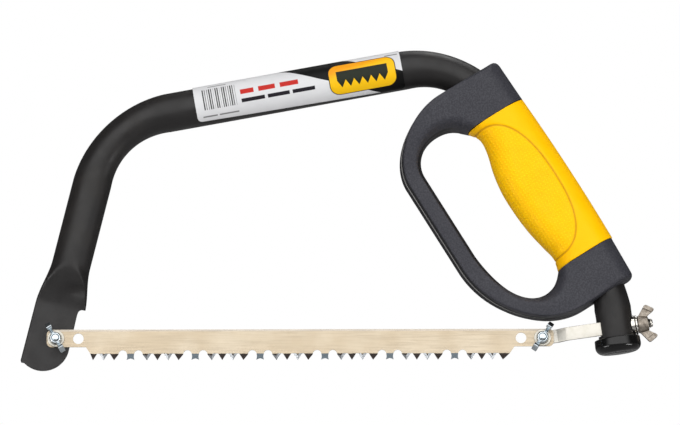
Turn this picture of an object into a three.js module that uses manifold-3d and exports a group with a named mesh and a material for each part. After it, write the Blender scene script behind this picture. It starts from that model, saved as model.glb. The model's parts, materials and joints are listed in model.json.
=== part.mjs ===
// Bow saw: a bent tube frame, a closed D handle in two halves with soft grip pads, a coarse
// raker-tooth blade, and a screw tensioner at the back.
// Millimetres, +Z up. The saw stands in the XZ plane with its teeth down: the toe is at -X, the
// handle at +X, and -Y is the side that carries the wing nuts of the blade.
import * as THREE from 'three';
import { mergeVertices } from 'three/addons/utils/BufferGeometryUtils.js';
import Module from 'manifold-3d';

const wasm = await Module();
wasm.setup();

// ------------------------------------------------------------------ driving dimensions
const GAP = 0.3;                    // air left between neighbouring pieces
const FAR = 60;                     // half length of a cutting tool that runs past a piece
const BEYOND = 500;                 // and of one that runs past the whole saw

// Tube: one length, bent three times, its front end pressed flat.
const TUBE_R = 11.65;               // outer radius
const TUBE_WALL = 1.6;
const STUB_R = 10.9;                // the tail is drawn slightly thinner
const BEND_SQUEEZE = 1.2;           // loss of in-plane radius in the middle of a bend
const LEG_LEAN = rad(14);           // front leg, from vertical
const TOP_RISE = rad(10.2);         // top tube, from level
const GRIP_LEAN = rad(32);          // handle leg, from vertical
const STUB_LEAN = rad(8);           // tail, from vertical
const LEG_LENGTH = 134.6;           // blade screw level to the front corner
const TOP_LENGTH = 218.8;           // corner to corner
const GRIP_LENGTH = 166;            // corner to corner
const STUB_LENGTH = 36;             // lower corner to the cut end of the tube
const FRONT_BEND_R = 57;
const REAR_BEND_R = 53;
const LOWER_BEND_R = 53;
const TOE_OFFSET = 2.4;             // the toe screw sits this far ahead of the leg's centre line
const TOE_HALF_WIDTH = 15.3;        // half width of the flattened tube
const TOE_HALF_THICK = 1.6;
const TOE_LOW = 21;                 // flat end below the screw
const FLAT_START = 19;              // fully flat up to here, above the screw
const ROUND_START = 46;             // fully round from here up
const FLAT_PRESS = 2.2;             // widens the flat faces until only the edges stay round

// Blade and its fixings.
const BLADE_LENGTH = 305;           // a 12 in blade
const BLADE_THICK = 0.9;
const BLADE_TOP = 5.5;              // top edge above the screws
const TAB_DROP = 5.1;               // tab's lower edge below the screws
const TOOTH_ROOT = 9;               // root line below the screws
const TOOTH_TIP = 13.1;
const TOOTH_HALF = 2.6;             // half width of a tooth at its root
const TOOTH_PITCH = 6.35;
const TAB_LENGTH = 23.6;            // plain end of the blade, beyond the teeth
const GULLET_TOP = 7;
const GULLET_R = 2.6;
const GULLET_OFF = 4.7;             // gullet centre to raker centre
const SCREW_SPAN = 292.8;           // between the two blade screws
const BLADE_HOLE_R = 3.2;
const SPARE_HOLE = 12.9;            // second hole, inwards from the first
const SCREW_R = 2.4;                // M5 blade screws
const BLADE_PLAY = 0.6;             // the pulled blade stands this far back on the front screw
const RAKER_PITCH = 39;
const RAKERS = 6;
const RAKER_HALF = 2.3;
const RAKER_CLEAR = 9.9;            // raker centre to the next tooth's tip

// Tensioner.
const STRAP_WIDE = 8;
const STRAP_THICK = 2;
const STUD_R = 2.9;                 // M6
const STUD_TIP = 22.5;              // from the tail's centre line
const SADDLE_R = 6.1;
const WASHER_R = 5.8;
const WASHER_THICK = 1;

// Handle, measured along the handle leg (u, downwards) and across it (v, outwards).
const HANDLE_TOP = 12;
const HANDLE_BOTTOM = 167.3;
const PAD_TOP = 40;
const PAD_BOTTOM = 140.4;
const PALM = 16.5;                  // back edge of the sleeves
const GUARD_OUT = -71.7;
const GUARD_IN = -57.9;
const SLEEVE_DEPTH = 16;            // half depth of the sleeves
const GUARD_DEPTH = 10;             // half depth of the guard
const PAD_THICK = 2.6;
const SHELL_WALL = 2.6;
const HANDLE_SCREW_R = 1.6;
const HEAD_SEAT = 5;                // depth of the screw heads' seats, from the parting plane
const HEAD_R = 2.9;
const HEAD_POCKET_R = 3.3;
const BLIND_HOLE = 6.5;             // depth of the screw holes in the near half
const BOSS_R = 3.8;
const BOSS_HALF = 8.5;
const HANDLE_SCREWS = [[24, -31], [58, -64.8], [112, -64.6], [156.5, -30]];

function rad(degrees) {
  return degrees * Math.PI / 180;
}

// ------------------------------------------------------------------ solids and booleans
function solidOf(geometry) {
  const bare = geometry.clone();
  bare.deleteAttribute('normal');
  bare.deleteAttribute('uv');
  const merged = mergeVertices(bare, 1e-5);
  return new wasm.Manifold(new wasm.Mesh({
    numProp: 3,
    vertProperties: new Float32Array(merged.attributes.position.array),
    triVerts: new Uint32Array(merged.index.array),
  }));
}

function geometryOf(solid) {
  const mesh = solid.getMesh();
  const geometry = new THREE.BufferGeometry();
  geometry.setAttribute('position', new THREE.BufferAttribute(mesh.vertProperties, 3));
  geometry.setIndex(new THREE.BufferAttribute(mesh.triVerts, 1));
  geometry.computeVertexNormals();
  return geometry;
}

// Turns the faces over if they point inwards.
function facingOut(geometry) {
  const position = geometry.attributes.position;
  const index = geometry.index;
  const [a, b, c] = [new THREE.Vector3(), new THREE.Vector3(), new THREE.Vector3()];
  let volume = 0;
  for (let i = 0; i < index.count; i += 3) {
    a.fromBufferAttribute(position, index.getX(i));
    b.fromBufferAttribute(position, index.getX(i + 1));
    c.fromBufferAttribute(position, index.getX(i + 2));
    volume += a.dot(b.cross(c));
  }
  if (volume < 0) {
    index.array.reverse();
  }
  return geometry;
}

// A body through a row of rings, capped at both ends: a cylinder whose rings are moved in place.
function loft(rings) {
  const around = rings[0].length;
  const rows = rings.length - 1;
  const geometry = new THREE.CylinderGeometry(1, 1, 1, around, rows);
  const position = geometry.attributes.position;
  for (let i = 0; i < position.count; i += 1) {
    const ring = rings[Math.round((0.5 - position.getY(i)) * rows)];
    const [x, z] = [position.getX(i), position.getZ(i)];
    const turn = Math.round(Math.atan2(x, z) / (2 * Math.PI) * around);
    const place = Math.hypot(x, z) < 0.5
      ? ring.reduce((sum, p) => sum.add(p), new THREE.Vector3()).divideScalar(around)
      : ring[(turn + around) % around];
    position.setXYZ(i, place.x, place.y, place.z);
  }
  return facingOut(geometry);
}

// The same for a closed loop of rings: a torus whose rings are moved in place.
function loopLoft(rings) {
  const around = rings[0].length;
  const rows = rings.length;
  const geometry = new THREE.TorusGeometry(2, 1, around, rows);
  const position = geometry.attributes.position;
  for (let j = 0; j <= around; j += 1) {
    for (let i = 0; i <= rows; i += 1) {
      const place = rings[i % rows][j % around];
      position.setXYZ(j * (rows + 1) + i, place.x, place.y, place.z);
    }
  }
  return facingOut(geometry);
}

// An outline in the XZ plane, given thickness along Y.
function plate(shape, nearY, farY, curveSegments = 8) {
  const geometry = new THREE.ExtrudeGeometry(shape, {
    depth: farY - nearY, bevelEnabled: false, curveSegments,
  });
  geometry.rotateX(Math.PI / 2);
  geometry.translate(0, farY, 0);
  return geometry;
}

// A round bar along Y.
function barY(x, z, radius, nearY, farY, sides = 24) {
  const geometry = new THREE.CylinderGeometry(radius, radius, farY - nearY, sides);
  geometry.translate(x, (nearY + farY) / 2, z);
  return geometry;
}

function block(x0, x1, y0, y1, z0, z1) {
  const geometry = new THREE.BoxGeometry(x1 - x0, y1 - y0, z1 - z0);
  geometry.translate((x0 + x1) / 2, (y0 + y1) / 2, (z0 + z1) / 2);
  return geometry;
}

// ------------------------------------------------------------------ the saw's own places
// The draft frame's zero is the centre of the front blade screw.
const legUp = new THREE.Vector2(Math.sin(LEG_LEAN), Math.cos(LEG_LEAN));
const topAlong = new THREE.Vector2(Math.cos(TOP_RISE), Math.sin(TOP_RISE));
const gripDown = new THREE.Vector2(Math.sin(GRIP_LEAN), -Math.cos(GRIP_LEAN));
const stubDown = new THREE.Vector2(Math.sin(STUB_LEAN), -Math.cos(STUB_LEAN));
const pullAlong = new THREE.Vector2(Math.cos(STUB_LEAN), Math.sin(STUB_LEAN));

const toeAxis = new THREE.Vector2(legUp.y, -legUp.x).multiplyScalar(-TOE_OFFSET);
const frontCorner = toeAxis.clone().addScaledVector(legUp, LEG_LENGTH);
const rearCorner = frontCorner.clone().addScaledVector(topAlong, TOP_LENGTH);
const lowerCorner = rearCorner.clone().addScaledVector(gripDown, GRIP_LENGTH);
const stubEnd = lowerCorner.clone().addScaledVector(stubDown, STUB_LENGTH);
const rearScrew = new THREE.Vector2(SCREW_SPAN, 0);
// The pull line runs from the rear screw square to the tail, and meets its centre here.
const pullDrop = rearScrew.clone().sub(lowerCorner).dot(stubDown);
const pullCentre = lowerCorner.clone().addScaledVector(stubDown, pullDrop);
const strapReach = pullCentre.clone().sub(rearScrew).dot(pullAlong);

// A point in the handle's own frame: u down the handle leg, v outwards from its centre line.
function onHandle(u, v, y = 0) {
  const p = rearCorner.clone().addScaledVector(gripDown, u);
  p.addScaledVector(new THREE.Vector2(-gripDown.y, gripDown.x), v);
  return new THREE.Vector3(p.x, y, p.y);
}

// ------------------------------------------------------------------ frame tube
// Stations along the bent centre line, each with its centre, direction and share of the bend.
function centreLine() {
  const low = toeAxis.clone().addScaledVector(legUp, -TOE_LOW - 2);
  const stations = [];
  const add = (x, z, dx, dz, bend) => {
    stations.push({ centre: new THREE.Vector2(x, z), along: new THREE.Vector2(dx, dz), bend });
  };
  const straight = (from, to, parts) => {
    const along = to.clone().sub(from).normalize();
    for (let i = 0; i <= parts; i += 1) {
      const p = from.clone().lerp(to, i / parts);
      add(p.x, p.y, along.x, along.y, 0);
    }
  };
  const bend = (corner, before, after, radius, parts) => {
    const turn = Math.acos(before.dot(after));
    const back = radius * Math.tan(turn / 2);
    const start = corner.clone().addScaledVector(before, -back);
    const inward = new THREE.Vector2(before.y, -before.x);
    for (let i = 1; i < parts; i += 1) {
      const angle = turn * i / parts;
      const p = start.clone().addScaledVector(before, radius * Math.sin(angle));
      p.addScaledVector(inward, radius * (1 - Math.cos(angle)));
      const way = before.clone().rotateAround(new THREE.Vector2(), -angle);
      add(p.x, p.y, way.x, way.y, Math.sin(Math.PI * i / parts));
    }
    return back;
  };
  const cut = (corner, way, back) => corner.clone().addScaledVector(way, back);
  const half = (a, b, radius) => radius * Math.tan(Math.acos(a.dot(b)) / 2);
  const frontBack = half(legUp, topAlong, FRONT_BEND_R);
  const rearBack = half(topAlong, gripDown, REAR_BEND_R);
  const lowerTurn = Math.acos(gripDown.dot(stubDown));
  const lowerBack = LOWER_BEND_R * Math.tan(lowerTurn / 2);

  straight(low, cut(toeAxis, legUp, FLAT_START), 2);
  straight(cut(toeAxis, legUp, FLAT_START + 3), cut(toeAxis, legUp, ROUND_START), 7);
  straight(cut(toeAxis, legUp, ROUND_START + 8), cut(frontCorner, legUp, -frontBack), 1);
  bend(frontCorner, legUp, topAlong, FRONT_BEND_R, 9);
  straight(cut(frontCorner, topAlong, frontBack), cut(rearCorner, topAlong, -rearBack), 1);
  bend(rearCorner, topAlong, gripDown, REAR_BEND_R, 9);
  straight(cut(rearCorner, gripDown, rearBack), cut(lowerCorner, gripDown, -lowerBack), 1);
  bend(lowerCorner, gripDown, stubDown, LOWER_BEND_R, 4);
  straight(cut(lowerCorner, stubDown, lowerBack), stubEnd, 2);
  return stations;
}

// Half sizes of the tube at a station, grown by `extra`: in the plane of the saw, and along Y.
function tubeHalfSizes(station, extra) {
  const up = station.centre.clone().sub(toeAxis).dot(legUp);
  const onLeg = station.centre.x < frontCorner.x;
  const flat = onLeg ? THREE.MathUtils.smoothstep(ROUND_START - up, 0, ROUND_START - FLAT_START) : 0;
  const tail = THREE.MathUtils.smoothstep(-station.centre.y, -lowerCorner.y, -lowerCorner.y + 16);
  const round = onLeg ? TUBE_R : THREE.MathUtils.lerp(TUBE_R, STUB_R, tail);
  const inPlane = THREE.MathUtils.lerp(round, TOE_HALF_WIDTH, flat) - BEND_SQUEEZE * station.bend;
  const inDepth = THREE.MathUtils.lerp(round, TOE_HALF_THICK, flat);
  return { inPlane: inPlane + extra, inDepth: inDepth + extra, flat };
}

function tubeRing(station, extra, sides) {
  const { inPlane, inDepth, flat } = tubeHalfSizes(station, extra);
  const side = new THREE.Vector2(-station.along.y, station.along.x);
  const press = 1 + FLAT_PRESS * flat;
  const ring = [];
  for (let i = 0; i < sides; i += 1) {
    const angle = 2 * Math.PI * i / sides;
    const p = station.centre.clone().addScaledVector(side, inPlane * Math.cos(angle));
    const y = inDepth * THREE.MathUtils.clamp(press * Math.sin(angle), -1, 1);
    ring.push(new THREE.Vector3(p.x, y, p.y));
  }
  return ring;
}

// What is trimmed off the flattened end, given as (across, up) from the toe screw's level on the
// leg's line: everything outside the toe's outline, below where the tube is still full.
function toeTrim() {
  const across = new THREE.Vector2(legUp.y, -legUp.x);
  const at = (x, up) => toeAxis.clone().addScaledVector(across, x).addScaledVector(legUp, up);
  const top = 40;
  const points = [at(FAR, top), at(FAR, -FAR), at(-FAR, -FAR), at(-FAR, top)];
  points.push(at(-22, top), at(-22, 20), at(-15.4, 14.4), at(-15.4, -17.2), at(-14.6, -18.6));
  const endR = 15.9;
  for (let i = 0; i <= 12; i += 1) {
    const angle = rad(-122 + 119 * i / 12);
    points.push(at(-4.5 + endR * Math.cos(angle), -5 + endR * Math.sin(angle)));
  }
  points.push(at(10.9, 17));
  const notchR = 2.6;
  for (let i = 0; i <= 5; i += 1) {
    const angle = rad(180 - 90 * i / 5);
    points.push(at(13.6 + notchR * Math.cos(angle), 18.5 + notchR * Math.sin(angle)));
  }
  points.push(at(22, 21.1), at(22, top));
  return plate(new THREE.Shape(points), -20, 20);
}

function tubeSolid(extra) {
  return solidOf(loft(centreLine().map((station) => tubeRing(station, extra, 28))));
}

function tubeBore() {
  const open = centreLine().filter((station) => tubeHalfSizes(station, 0).inDepth > 5);
  const last = open[open.length - 1];
  const past = { ...last, centre: last.centre.clone().addScaledVector(last.along, 5) };
  return solidOf(loft([...open, past].map((station) => tubeRing(station, -TUBE_WALL, 16))));
}

// Something made about the origin with its long axis on X, laid on the pull line.
function onPullLine(geometry) {
  geometry.rotateY(-STUB_LEAN);
  geometry.translate(pullCentre.x, 0, pullCentre.y);
  return geometry;
}

function alongX(radius, x0, x1, sides = 24) {
  const geometry = new THREE.CylinderGeometry(radius, radius, x1 - x0, sides);
  geometry.rotateZ(-Math.PI / 2);
  geometry.translate((x0 + x1) / 2, 0, 0);
  return geometry;
}

function frameTube() {
  const strapHalf = STRAP_WIDE / 2 + 0.4;
  const slot = onPullLine(block(-STUB_R - 4, -4, -6.4, 6.4, -strapHalf, strapHalf));
  return geometryOf(tubeSolid(0)
    .subtract(solidOf(toeTrim()))
    .subtract(tubeBore())
    .subtract(solidOf(barY(0, 0, SCREW_R + GAP, -FAR, FAR)))
    .subtract(solidOf(slot))
    .subtract(solidOf(onPullLine(alongX(STUD_R + 0.4, 0, STUB_R + 5)))));
}

// Vinyl cap pushed over the end of the tail.
function tubeEndCap() {
  const outer = 13.85;
  const inner = STUB_R + GAP;
  const height = 9;
  const base = 2.2;
  const round = 4.6;
  const profile = [new THREE.Vector2(0, 0)];
  for (let i = 0; i <= 5; i += 1) {
    const angle = rad(-90 + 90 * i / 5);
    const [out, up] = [round * Math.cos(angle), round * Math.sin(angle)];
    profile.push(new THREE.Vector2(outer - round + out, round + up));
  }
  profile.push(new THREE.Vector2(outer, height - 0.6));
  profile.push(new THREE.Vector2(outer - 0.6, height));
  profile.push(new THREE.Vector2(inner, height));
  profile.push(new THREE.Vector2(inner, base));
  profile.push(new THREE.Vector2(0, base));
  const geometry = new THREE.LatheGeometry(profile, 32);
  geometry.rotateX(Math.PI / 2);
  geometry.rotateY(-STUB_LEAN);
  const bottom = stubEnd.clone().addScaledVector(stubDown, base + GAP);
  geometry.translate(bottom.x, 0, bottom.y);
  return geometry;
}

// Paper label wrapped round the straight top tube, open underneath.
function tubeLabel() {
  const inner = TUBE_R + GAP;
  const outer = inner + 0.35;
  const start = 54.4;
  const length = 126.8;
  const open = rad(47);              // half of the uncovered angle underneath
  const shape = new THREE.Shape();
  shape.absarc(0, 0, outer, -Math.PI / 2 + open, 1.5 * Math.PI - open, false);
  shape.absarc(0, 0, inner, 1.5 * Math.PI - open, -Math.PI / 2 + open, true);
  const geometry = new THREE.ExtrudeGeometry(shape, {
    depth: length, bevelEnabled: false, curveSegments: 32,
  });
  geometry.rotateX(Math.PI / 2);
  geometry.rotateZ(Math.PI / 2);
  geometry.rotateY(-TOP_RISE);
  const at = frontCorner.clone().addScaledVector(topAlong, start);
  geometry.translate(at.x, 0, at.y);
  return geometry;
}

// ------------------------------------------------------------------ handle
// A rib is a straight cut across the handle from its outer edge to its inner edge, with the half
// depth and the way that both edges are rounded: radius, and squareness (2 is an ellipse).
const BAR = { depth: GUARD_DEPTH, outR: 3.2, outN: 4, inR: 2.6, inN: 4 };
const TOP_SLEEVE = { depth: SLEEVE_DEPTH, outR: 1.6, outN: 6, inR: 8.5, inN: 2.2 };
const BACK_SLEEVE = { depth: SLEEVE_DEPTH, outR: 12, outN: 2.2, inR: 8, inN: 2.4 };
const GRIP = { depth: SLEEVE_DEPTH + 0.6, outR: 15, outN: 2.1, inR: 15, inN: 2.1 };

const uv = (u, v) => new THREE.Vector2(u, v);
const edge = (...points) => (points.length === 4
  ? new THREE.CubicBezierCurve(...points)
  : new THREE.LineCurve(...points));

// Finger side of the grip, with its swell between two waists.
const fingerEdge = new THREE.SplineCurve([
  uv(PAD_TOP, -22), uv(47, -17.8), uv(56, -18.3), uv(69, -21.8), uv(82, -23.8),
  uv(96, -23.9), uv(110, -22.8), uv(123, -20.4), uv(132, -18.7), uv(PAD_BOTTOM, -20.6),
]);
const palmEdge = new THREE.SplineCurve([
  uv(PAD_TOP, 17.3), uv(66, 18.2), uv(90, 18.6), uv(115, 18.6), uv(PAD_BOTTOM, 18.1),
]);

const gripStretch = { outer: palmEdge, inner: fingerEdge, from: GRIP, to: GRIP, steps: 16 };
const lowerStretches = [
  {
    outer: edge(uv(PAD_BOTTOM, PALM + 1), uv(163.6, PALM)),
    inner: edge(uv(PAD_BOTTOM, -20.6), uv(142.6, -22.6)),
    from: BACK_SLEEVE, to: BACK_SLEEVE, steps: 2,
  },
  {
    outer: edge(uv(163.6, PALM), uv(166, PALM), uv(HANDLE_BOTTOM, 15), uv(HANDLE_BOTTOM, 12.8)),
    inner: edge(uv(142.6, -22.6), uv(143.6, -23.6)),
    from: BACK_SLEEVE, to: TOP_SLEEVE, steps: 3,
  },
  {
    outer: edge(uv(HANDLE_BOTTOM, 12.8), uv(HANDLE_BOTTOM, -20)),
    inner: edge(uv(143.6, -23.6), uv(145.6, -26), uv(147.3, -28), uv(147.9, -33)),
    from: TOP_SLEEVE, to: TOP_SLEEVE, steps: 4,
  },
  {
    outer: edge(uv(HANDLE_BOTTOM, -20), uv(HANDLE_BOTTOM, -47), uv(139, GUARD_OUT), uv(109, GUARD_OUT)),
    inner: edge(uv(147.9, -33), uv(149, -47), uv(132, -56), uv(106, GUARD_IN)),
    from: TOP_SLEEVE, to: BAR, steps: 11,
  },
];
const upperStretches = [
  {
    outer: edge(uv(109, GUARD_OUT), uv(50, GUARD_OUT)),
    inner: edge(uv(106, GUARD_IN), uv(49, GUARD_IN)),
    from: BAR, to: BAR, steps: 2,
  },
  {
    outer: edge(uv(50, GUARD_OUT), uv(30, GUARD_OUT), uv(HANDLE_TOP, -48), uv(HANDLE_TOP, -25)),
    inner: edge(uv(49, GUARD_IN), uv(39.5, GUARD_IN), uv(31.9, -50), uv(31.9, -39)),
    from: BAR, to: TOP_SLEEVE, steps: 9,
  },
  {
    outer: edge(uv(HANDLE_TOP, -25), uv(HANDLE_TOP, 12.6)),
    inner: edge(uv(31.9, -39), uv(31.9, -33), uv(33.6, -29.2), uv(36.3, -26.1)),
    from: TOP_SLEEVE, to: TOP_SLEEVE, steps: 4,
  },
  {
    outer: edge(uv(HANDLE_TOP, 12.6), uv(HANDLE_TOP, 15), uv(13.4, PALM), uv(15.8, PALM)),
    inner: edge(uv(36.3, -26.1), uv(37.3, -25)),
    from: TOP_SLEEVE, to: BACK_SLEEVE, steps: 3,
  },
  {
    outer: edge(uv(15.8, PALM), uv(PAD_TOP, PALM + 0.7)),
    inner: edge(uv(37.3, -25), uv(PAD_TOP, -22)),
    from: BACK_SLEEVE, to: BACK_SLEEVE, steps: 2,
  },
];

// Ring of a rib, drawn in by `inset` on every side.
function ribRing(outer, inner, form, inset) {
  const quarter = 4;
  const across = inner.clone().sub(outer);
  const width = across.length() - 2 * inset;
  across.normalize();
  const start = outer.clone().addScaledVector(across, inset);
  const depth = form.depth - inset;
  const shrink = Math.min(1, 0.98 * width / (form.outR + form.inR));
  const half = [];
  for (let i = 0; i <= quarter; i += 1) {
    const angle = Math.PI / 2 * i / quarter;
    const reach = form.outR * shrink * (1 - Math.cos(angle) ** (2 / form.outN));
    half.push([reach, depth * Math.sin(angle) ** (2 / form.outN)]);
  }
  for (let i = quarter; i >= 0; i -= 1) {
    const angle = Math.PI / 2 * i / quarter;
    const reach = width - form.inR * shrink * (1 - Math.cos(angle) ** (2 / form.inN));
    half.push([reach, depth * Math.sin(angle) ** (2 / form.inN)]);
  }
  const ends = half.slice(1, -1).reverse();
  const ring = [
    ...half.map(([reach, y]) => [reach, y]),
    ...ends.map(([reach, y]) => [reach, -y]),
  ];
  return ring.map(([reach, y]) => {
    const p = start.clone().addScaledVector(across, reach);
    return onHandle(p.x, p.y, y);
  });
}

function mixForms(a, b, t) {
  const smooth = t * t * (3 - 2 * t);
  const mixed = {};
  for (const key of Object.keys(a)) {
    mixed[key] = THREE.MathUtils.lerp(a[key], b[key], smooth);
  }
  return mixed;
}

function stretchRings(stretch, inset, closed) {
  const rings = [];
  const last = closed ? stretch.steps : stretch.steps - 1;
  for (let i = 0; i <= last; i += 1) {
    const t = i / stretch.steps;
    const form = mixForms(stretch.from, stretch.to, t);
    rings.push(ribRing(stretch.outer.getPoint(t), stretch.inner.getPoint(t), form, inset));
  }
  return rings;
}

// The whole handle as one ring-shaped body, drawn in under the grip pads.
function handleSolid() {
  const rings = [];
  for (const stretch of upperStretches) {
    rings.push(...stretchRings(stretch, 0, stretch === upperStretches[4]));
  }
  rings.push(...stretchRings(gripStretch, PAD_THICK + GAP, true));
  for (const stretch of lowerStretches) {
    rings.push(...stretchRings(stretch, 0, false));
  }
  return solidOf(loopLoft(rings));
}

// Hollow inside of the guard, from sleeve to sleeve.
function guardHollow() {
  const rings = [
    ...stretchRings(lowerStretches[3], SHELL_WALL, false).slice(4),
    ...stretchRings(upperStretches[0], SHELL_WALL, false),
    ...stretchRings(upperStretches[1], SHELL_WALL, true).slice(0, -3),
  ];
  return solidOf(loft(rings));
}

function handleBosses() {
  return HANDLE_SCREWS.map(([u, v]) => {
    const p = onHandle(u, v);
    return solidOf(barY(p.x, p.z, BOSS_R, -BOSS_HALF, BOSS_HALF, 16));
  }).reduce((all, boss) => all.add(boss));
}

const handleBody = handleSolid()
  .subtract(guardHollow())
  .add(handleBosses())
  .subtract(tubeSolid(GAP));

// Screws run from the far side: a recess for the head, and a blind hole in the near half.
const handleDrilled = HANDLE_SCREWS.reduce((body, [u, v]) => {
  const p = onHandle(u, v);
  return body
    .subtract(solidOf(barY(p.x, p.z, HANDLE_SCREW_R + GAP, -BLIND_HOLE, FAR, 12)))
    .subtract(solidOf(barY(p.x, p.z, HEAD_POCKET_R, HEAD_SEAT, FAR, 16)));
}, handleBody);

function nearHalf(solid) {
  const near = block(-BEYOND, BEYOND, -FAR, -GAP / 2, -BEYOND, BEYOND);
  return geometryOf(solid.intersect(solidOf(near)));
}

function farHalf(solid) {
  const far = block(-BEYOND, BEYOND, GAP / 2, FAR, -BEYOND, BEYOND);
  return geometryOf(solid.intersect(solidOf(far)));
}

// The sleeve of soft rubber round the grip, later cut into its two pads.
const underPad = stretchRings(gripStretch, PAD_THICK, true);
const padBody = solidOf(loft(stretchRings(gripStretch, 0, true)))
  .subtract(solidOf(loft([
    shifted(underPad[0], -1), ...underPad, shifted(underPad[underPad.length - 1], 1),
  ])));

function shifted(ring, down) {
  return ring.map((p) => new THREE.Vector3(p.x + down * gripDown.x, p.y, p.z + down * gripDown.y));
}

// The pads end a little short of the sleeves.
function padTrim(solid) {
  const corners = [
    onHandle(PAD_TOP + GAP, -FAR), onHandle(PAD_TOP + GAP, FAR),
    onHandle(PAD_BOTTOM - GAP, FAR), onHandle(PAD_BOTTOM - GAP, -FAR),
  ];
  const shape = new THREE.Shape(corners.map((p) => new THREE.Vector2(p.x, p.z)));
  return solid.intersect(solidOf(plate(shape, -FAR, FAR)));
}

function handleScrew(index) {
  const [u, v] = HANDLE_SCREWS[index];
  const p = onHandle(u, v);
  const shank = solidOf(barY(p.x, p.z, HANDLE_SCREW_R, 0.5 - BLIND_HOLE, HEAD_SEAT + 1, 12));
  const head = solidOf(barY(p.x, p.z, HEAD_R, HEAD_SEAT + GAP, HEAD_SEAT + 2.3, 16));
  const [slotLong, slotWide, slotFloor] = [1.7, 0.5, HEAD_SEAT + 1.5];
  const bar = (x, z) => solidOf(block(p.x - x, p.x + x, slotFloor, FAR, p.z - z, p.z + z));
  const cross = bar(slotLong, slotWide).add(bar(slotWide, slotLong));
  return geometryOf(shank.add(head).subtract(cross));
}

// ------------------------------------------------------------------ blade and its fixings
const bladeNear = -(TOE_HALF_THICK + GAP + BLADE_THICK);
const bladeFar = -(TOE_HALF_THICK + GAP);

// Lower edge from left to right: cutting teeth in groups, and between them a raker with a round
// gullet on each side.
function bladeShape() {
  const left = BLADE_PLAY - (BLADE_LENGTH - SCREW_SPAN) / 2;
  const right = left + BLADE_LENGTH;
  const firstRaker = left + 50.5;
  const shape = new THREE.Shape();
  const corner = 3;
  shape.moveTo(left + corner, BLADE_TOP);
  shape.absarc(left + corner, BLADE_TOP - corner, corner, Math.PI / 2, Math.PI, false);
  shape.absarc(left + corner, -TAB_DROP + corner, corner, Math.PI, 1.5 * Math.PI, false);
  shape.lineTo(left + TAB_LENGTH, -TAB_DROP);
  shape.lineTo(left + TAB_LENGTH + 2.6, -TOOTH_ROOT);
  const teeth = (first, count) => {
    for (let i = 0; i < count; i += 1) {
      const tip = first + TOOTH_PITCH * i;
      if (i > 0) {
        shape.lineTo(tip - TOOTH_HALF, -TOOTH_ROOT);
      }
      shape.lineTo(tip, -TOOTH_TIP);
      if (i < count - 1) {
        shape.lineTo(tip + TOOTH_HALF, -TOOTH_ROOT);
      }
    }
  };
  const gullet = (x) => {
    shape.absarc(x, -GULLET_TOP - GULLET_R, GULLET_R, Math.PI, 0, true);
  };
  teeth(firstRaker - RAKER_CLEAR - 2 * TOOTH_PITCH, 3);
  for (let n = 0; n < RAKERS; n += 1) {
    const x = firstRaker + n * RAKER_PITCH;
    gullet(x - GULLET_OFF);
    shape.lineTo(x - RAKER_HALF, -TOOTH_TIP + 0.7);
    shape.lineTo(x, -TOOTH_TIP + 2.2);
    shape.lineTo(x + RAKER_HALF, -TOOTH_TIP + 0.7);
    gullet(x + GULLET_OFF);
    teeth(x + RAKER_CLEAR, 4);
  }
  shape.lineTo(right - TAB_LENGTH - 2.6, -TOOTH_ROOT);
  shape.lineTo(right - TAB_LENGTH, -TAB_DROP);
  shape.absarc(right - corner, -TAB_DROP + corner, corner, 1.5 * Math.PI, 2 * Math.PI, false);
  shape.absarc(right - corner, BLADE_TOP - corner, corner, 0, Math.PI / 2, false);
  shape.closePath();
  const holes = [BLADE_PLAY, BLADE_PLAY + SPARE_HOLE, SCREW_SPAN - SPARE_HOLE];
  for (const x of holes) {
    const hole = new THREE.Path();
    hole.absarc(x, 0, BLADE_HOLE_R, 0, 2 * Math.PI, true);
    shape.holes.push(hole);
  }
  const rearHole = new THREE.Path();
  rearHole.absarc(SCREW_SPAN, 0, SCREW_R + GAP, 0, 2 * Math.PI, true);
  shape.holes.push(rearHole);
  return shape;
}

const washerFar = bladeNear - GAP;
const washerNear = washerFar - WASHER_THICK;
const nutSeat = washerNear - GAP;
const NUT_HUB = 4.6;                 // hub length of a blade nut

function ringY(x, z, outer, inner, nearY, farY) {
  return geometryOf(solidOf(barY(x, z, outer, nearY, farY))
    .subtract(solidOf(barY(x, z, inner, nearY - 5, farY + 5))));
}

// Slotted pan-head screw, head on the far side, ending flush with the tightened nut.
function bladeScrew(x, z, seat) {
  const headR = 4.6;
  const head = solidOf(barY(x, z, headR, seat + GAP, seat + GAP + 2.8));
  const shank = solidOf(barY(x, z, SCREW_R, nutSeat - NUT_HUB - 0.4, seat + GAP + 1));
  const slot = solidOf(block(x - 6, x + 6, seat + GAP + 1.6, seat + 9, z - 0.6, z + 0.6));
  return geometryOf(head.add(shank).subtract(slot));
}

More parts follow.
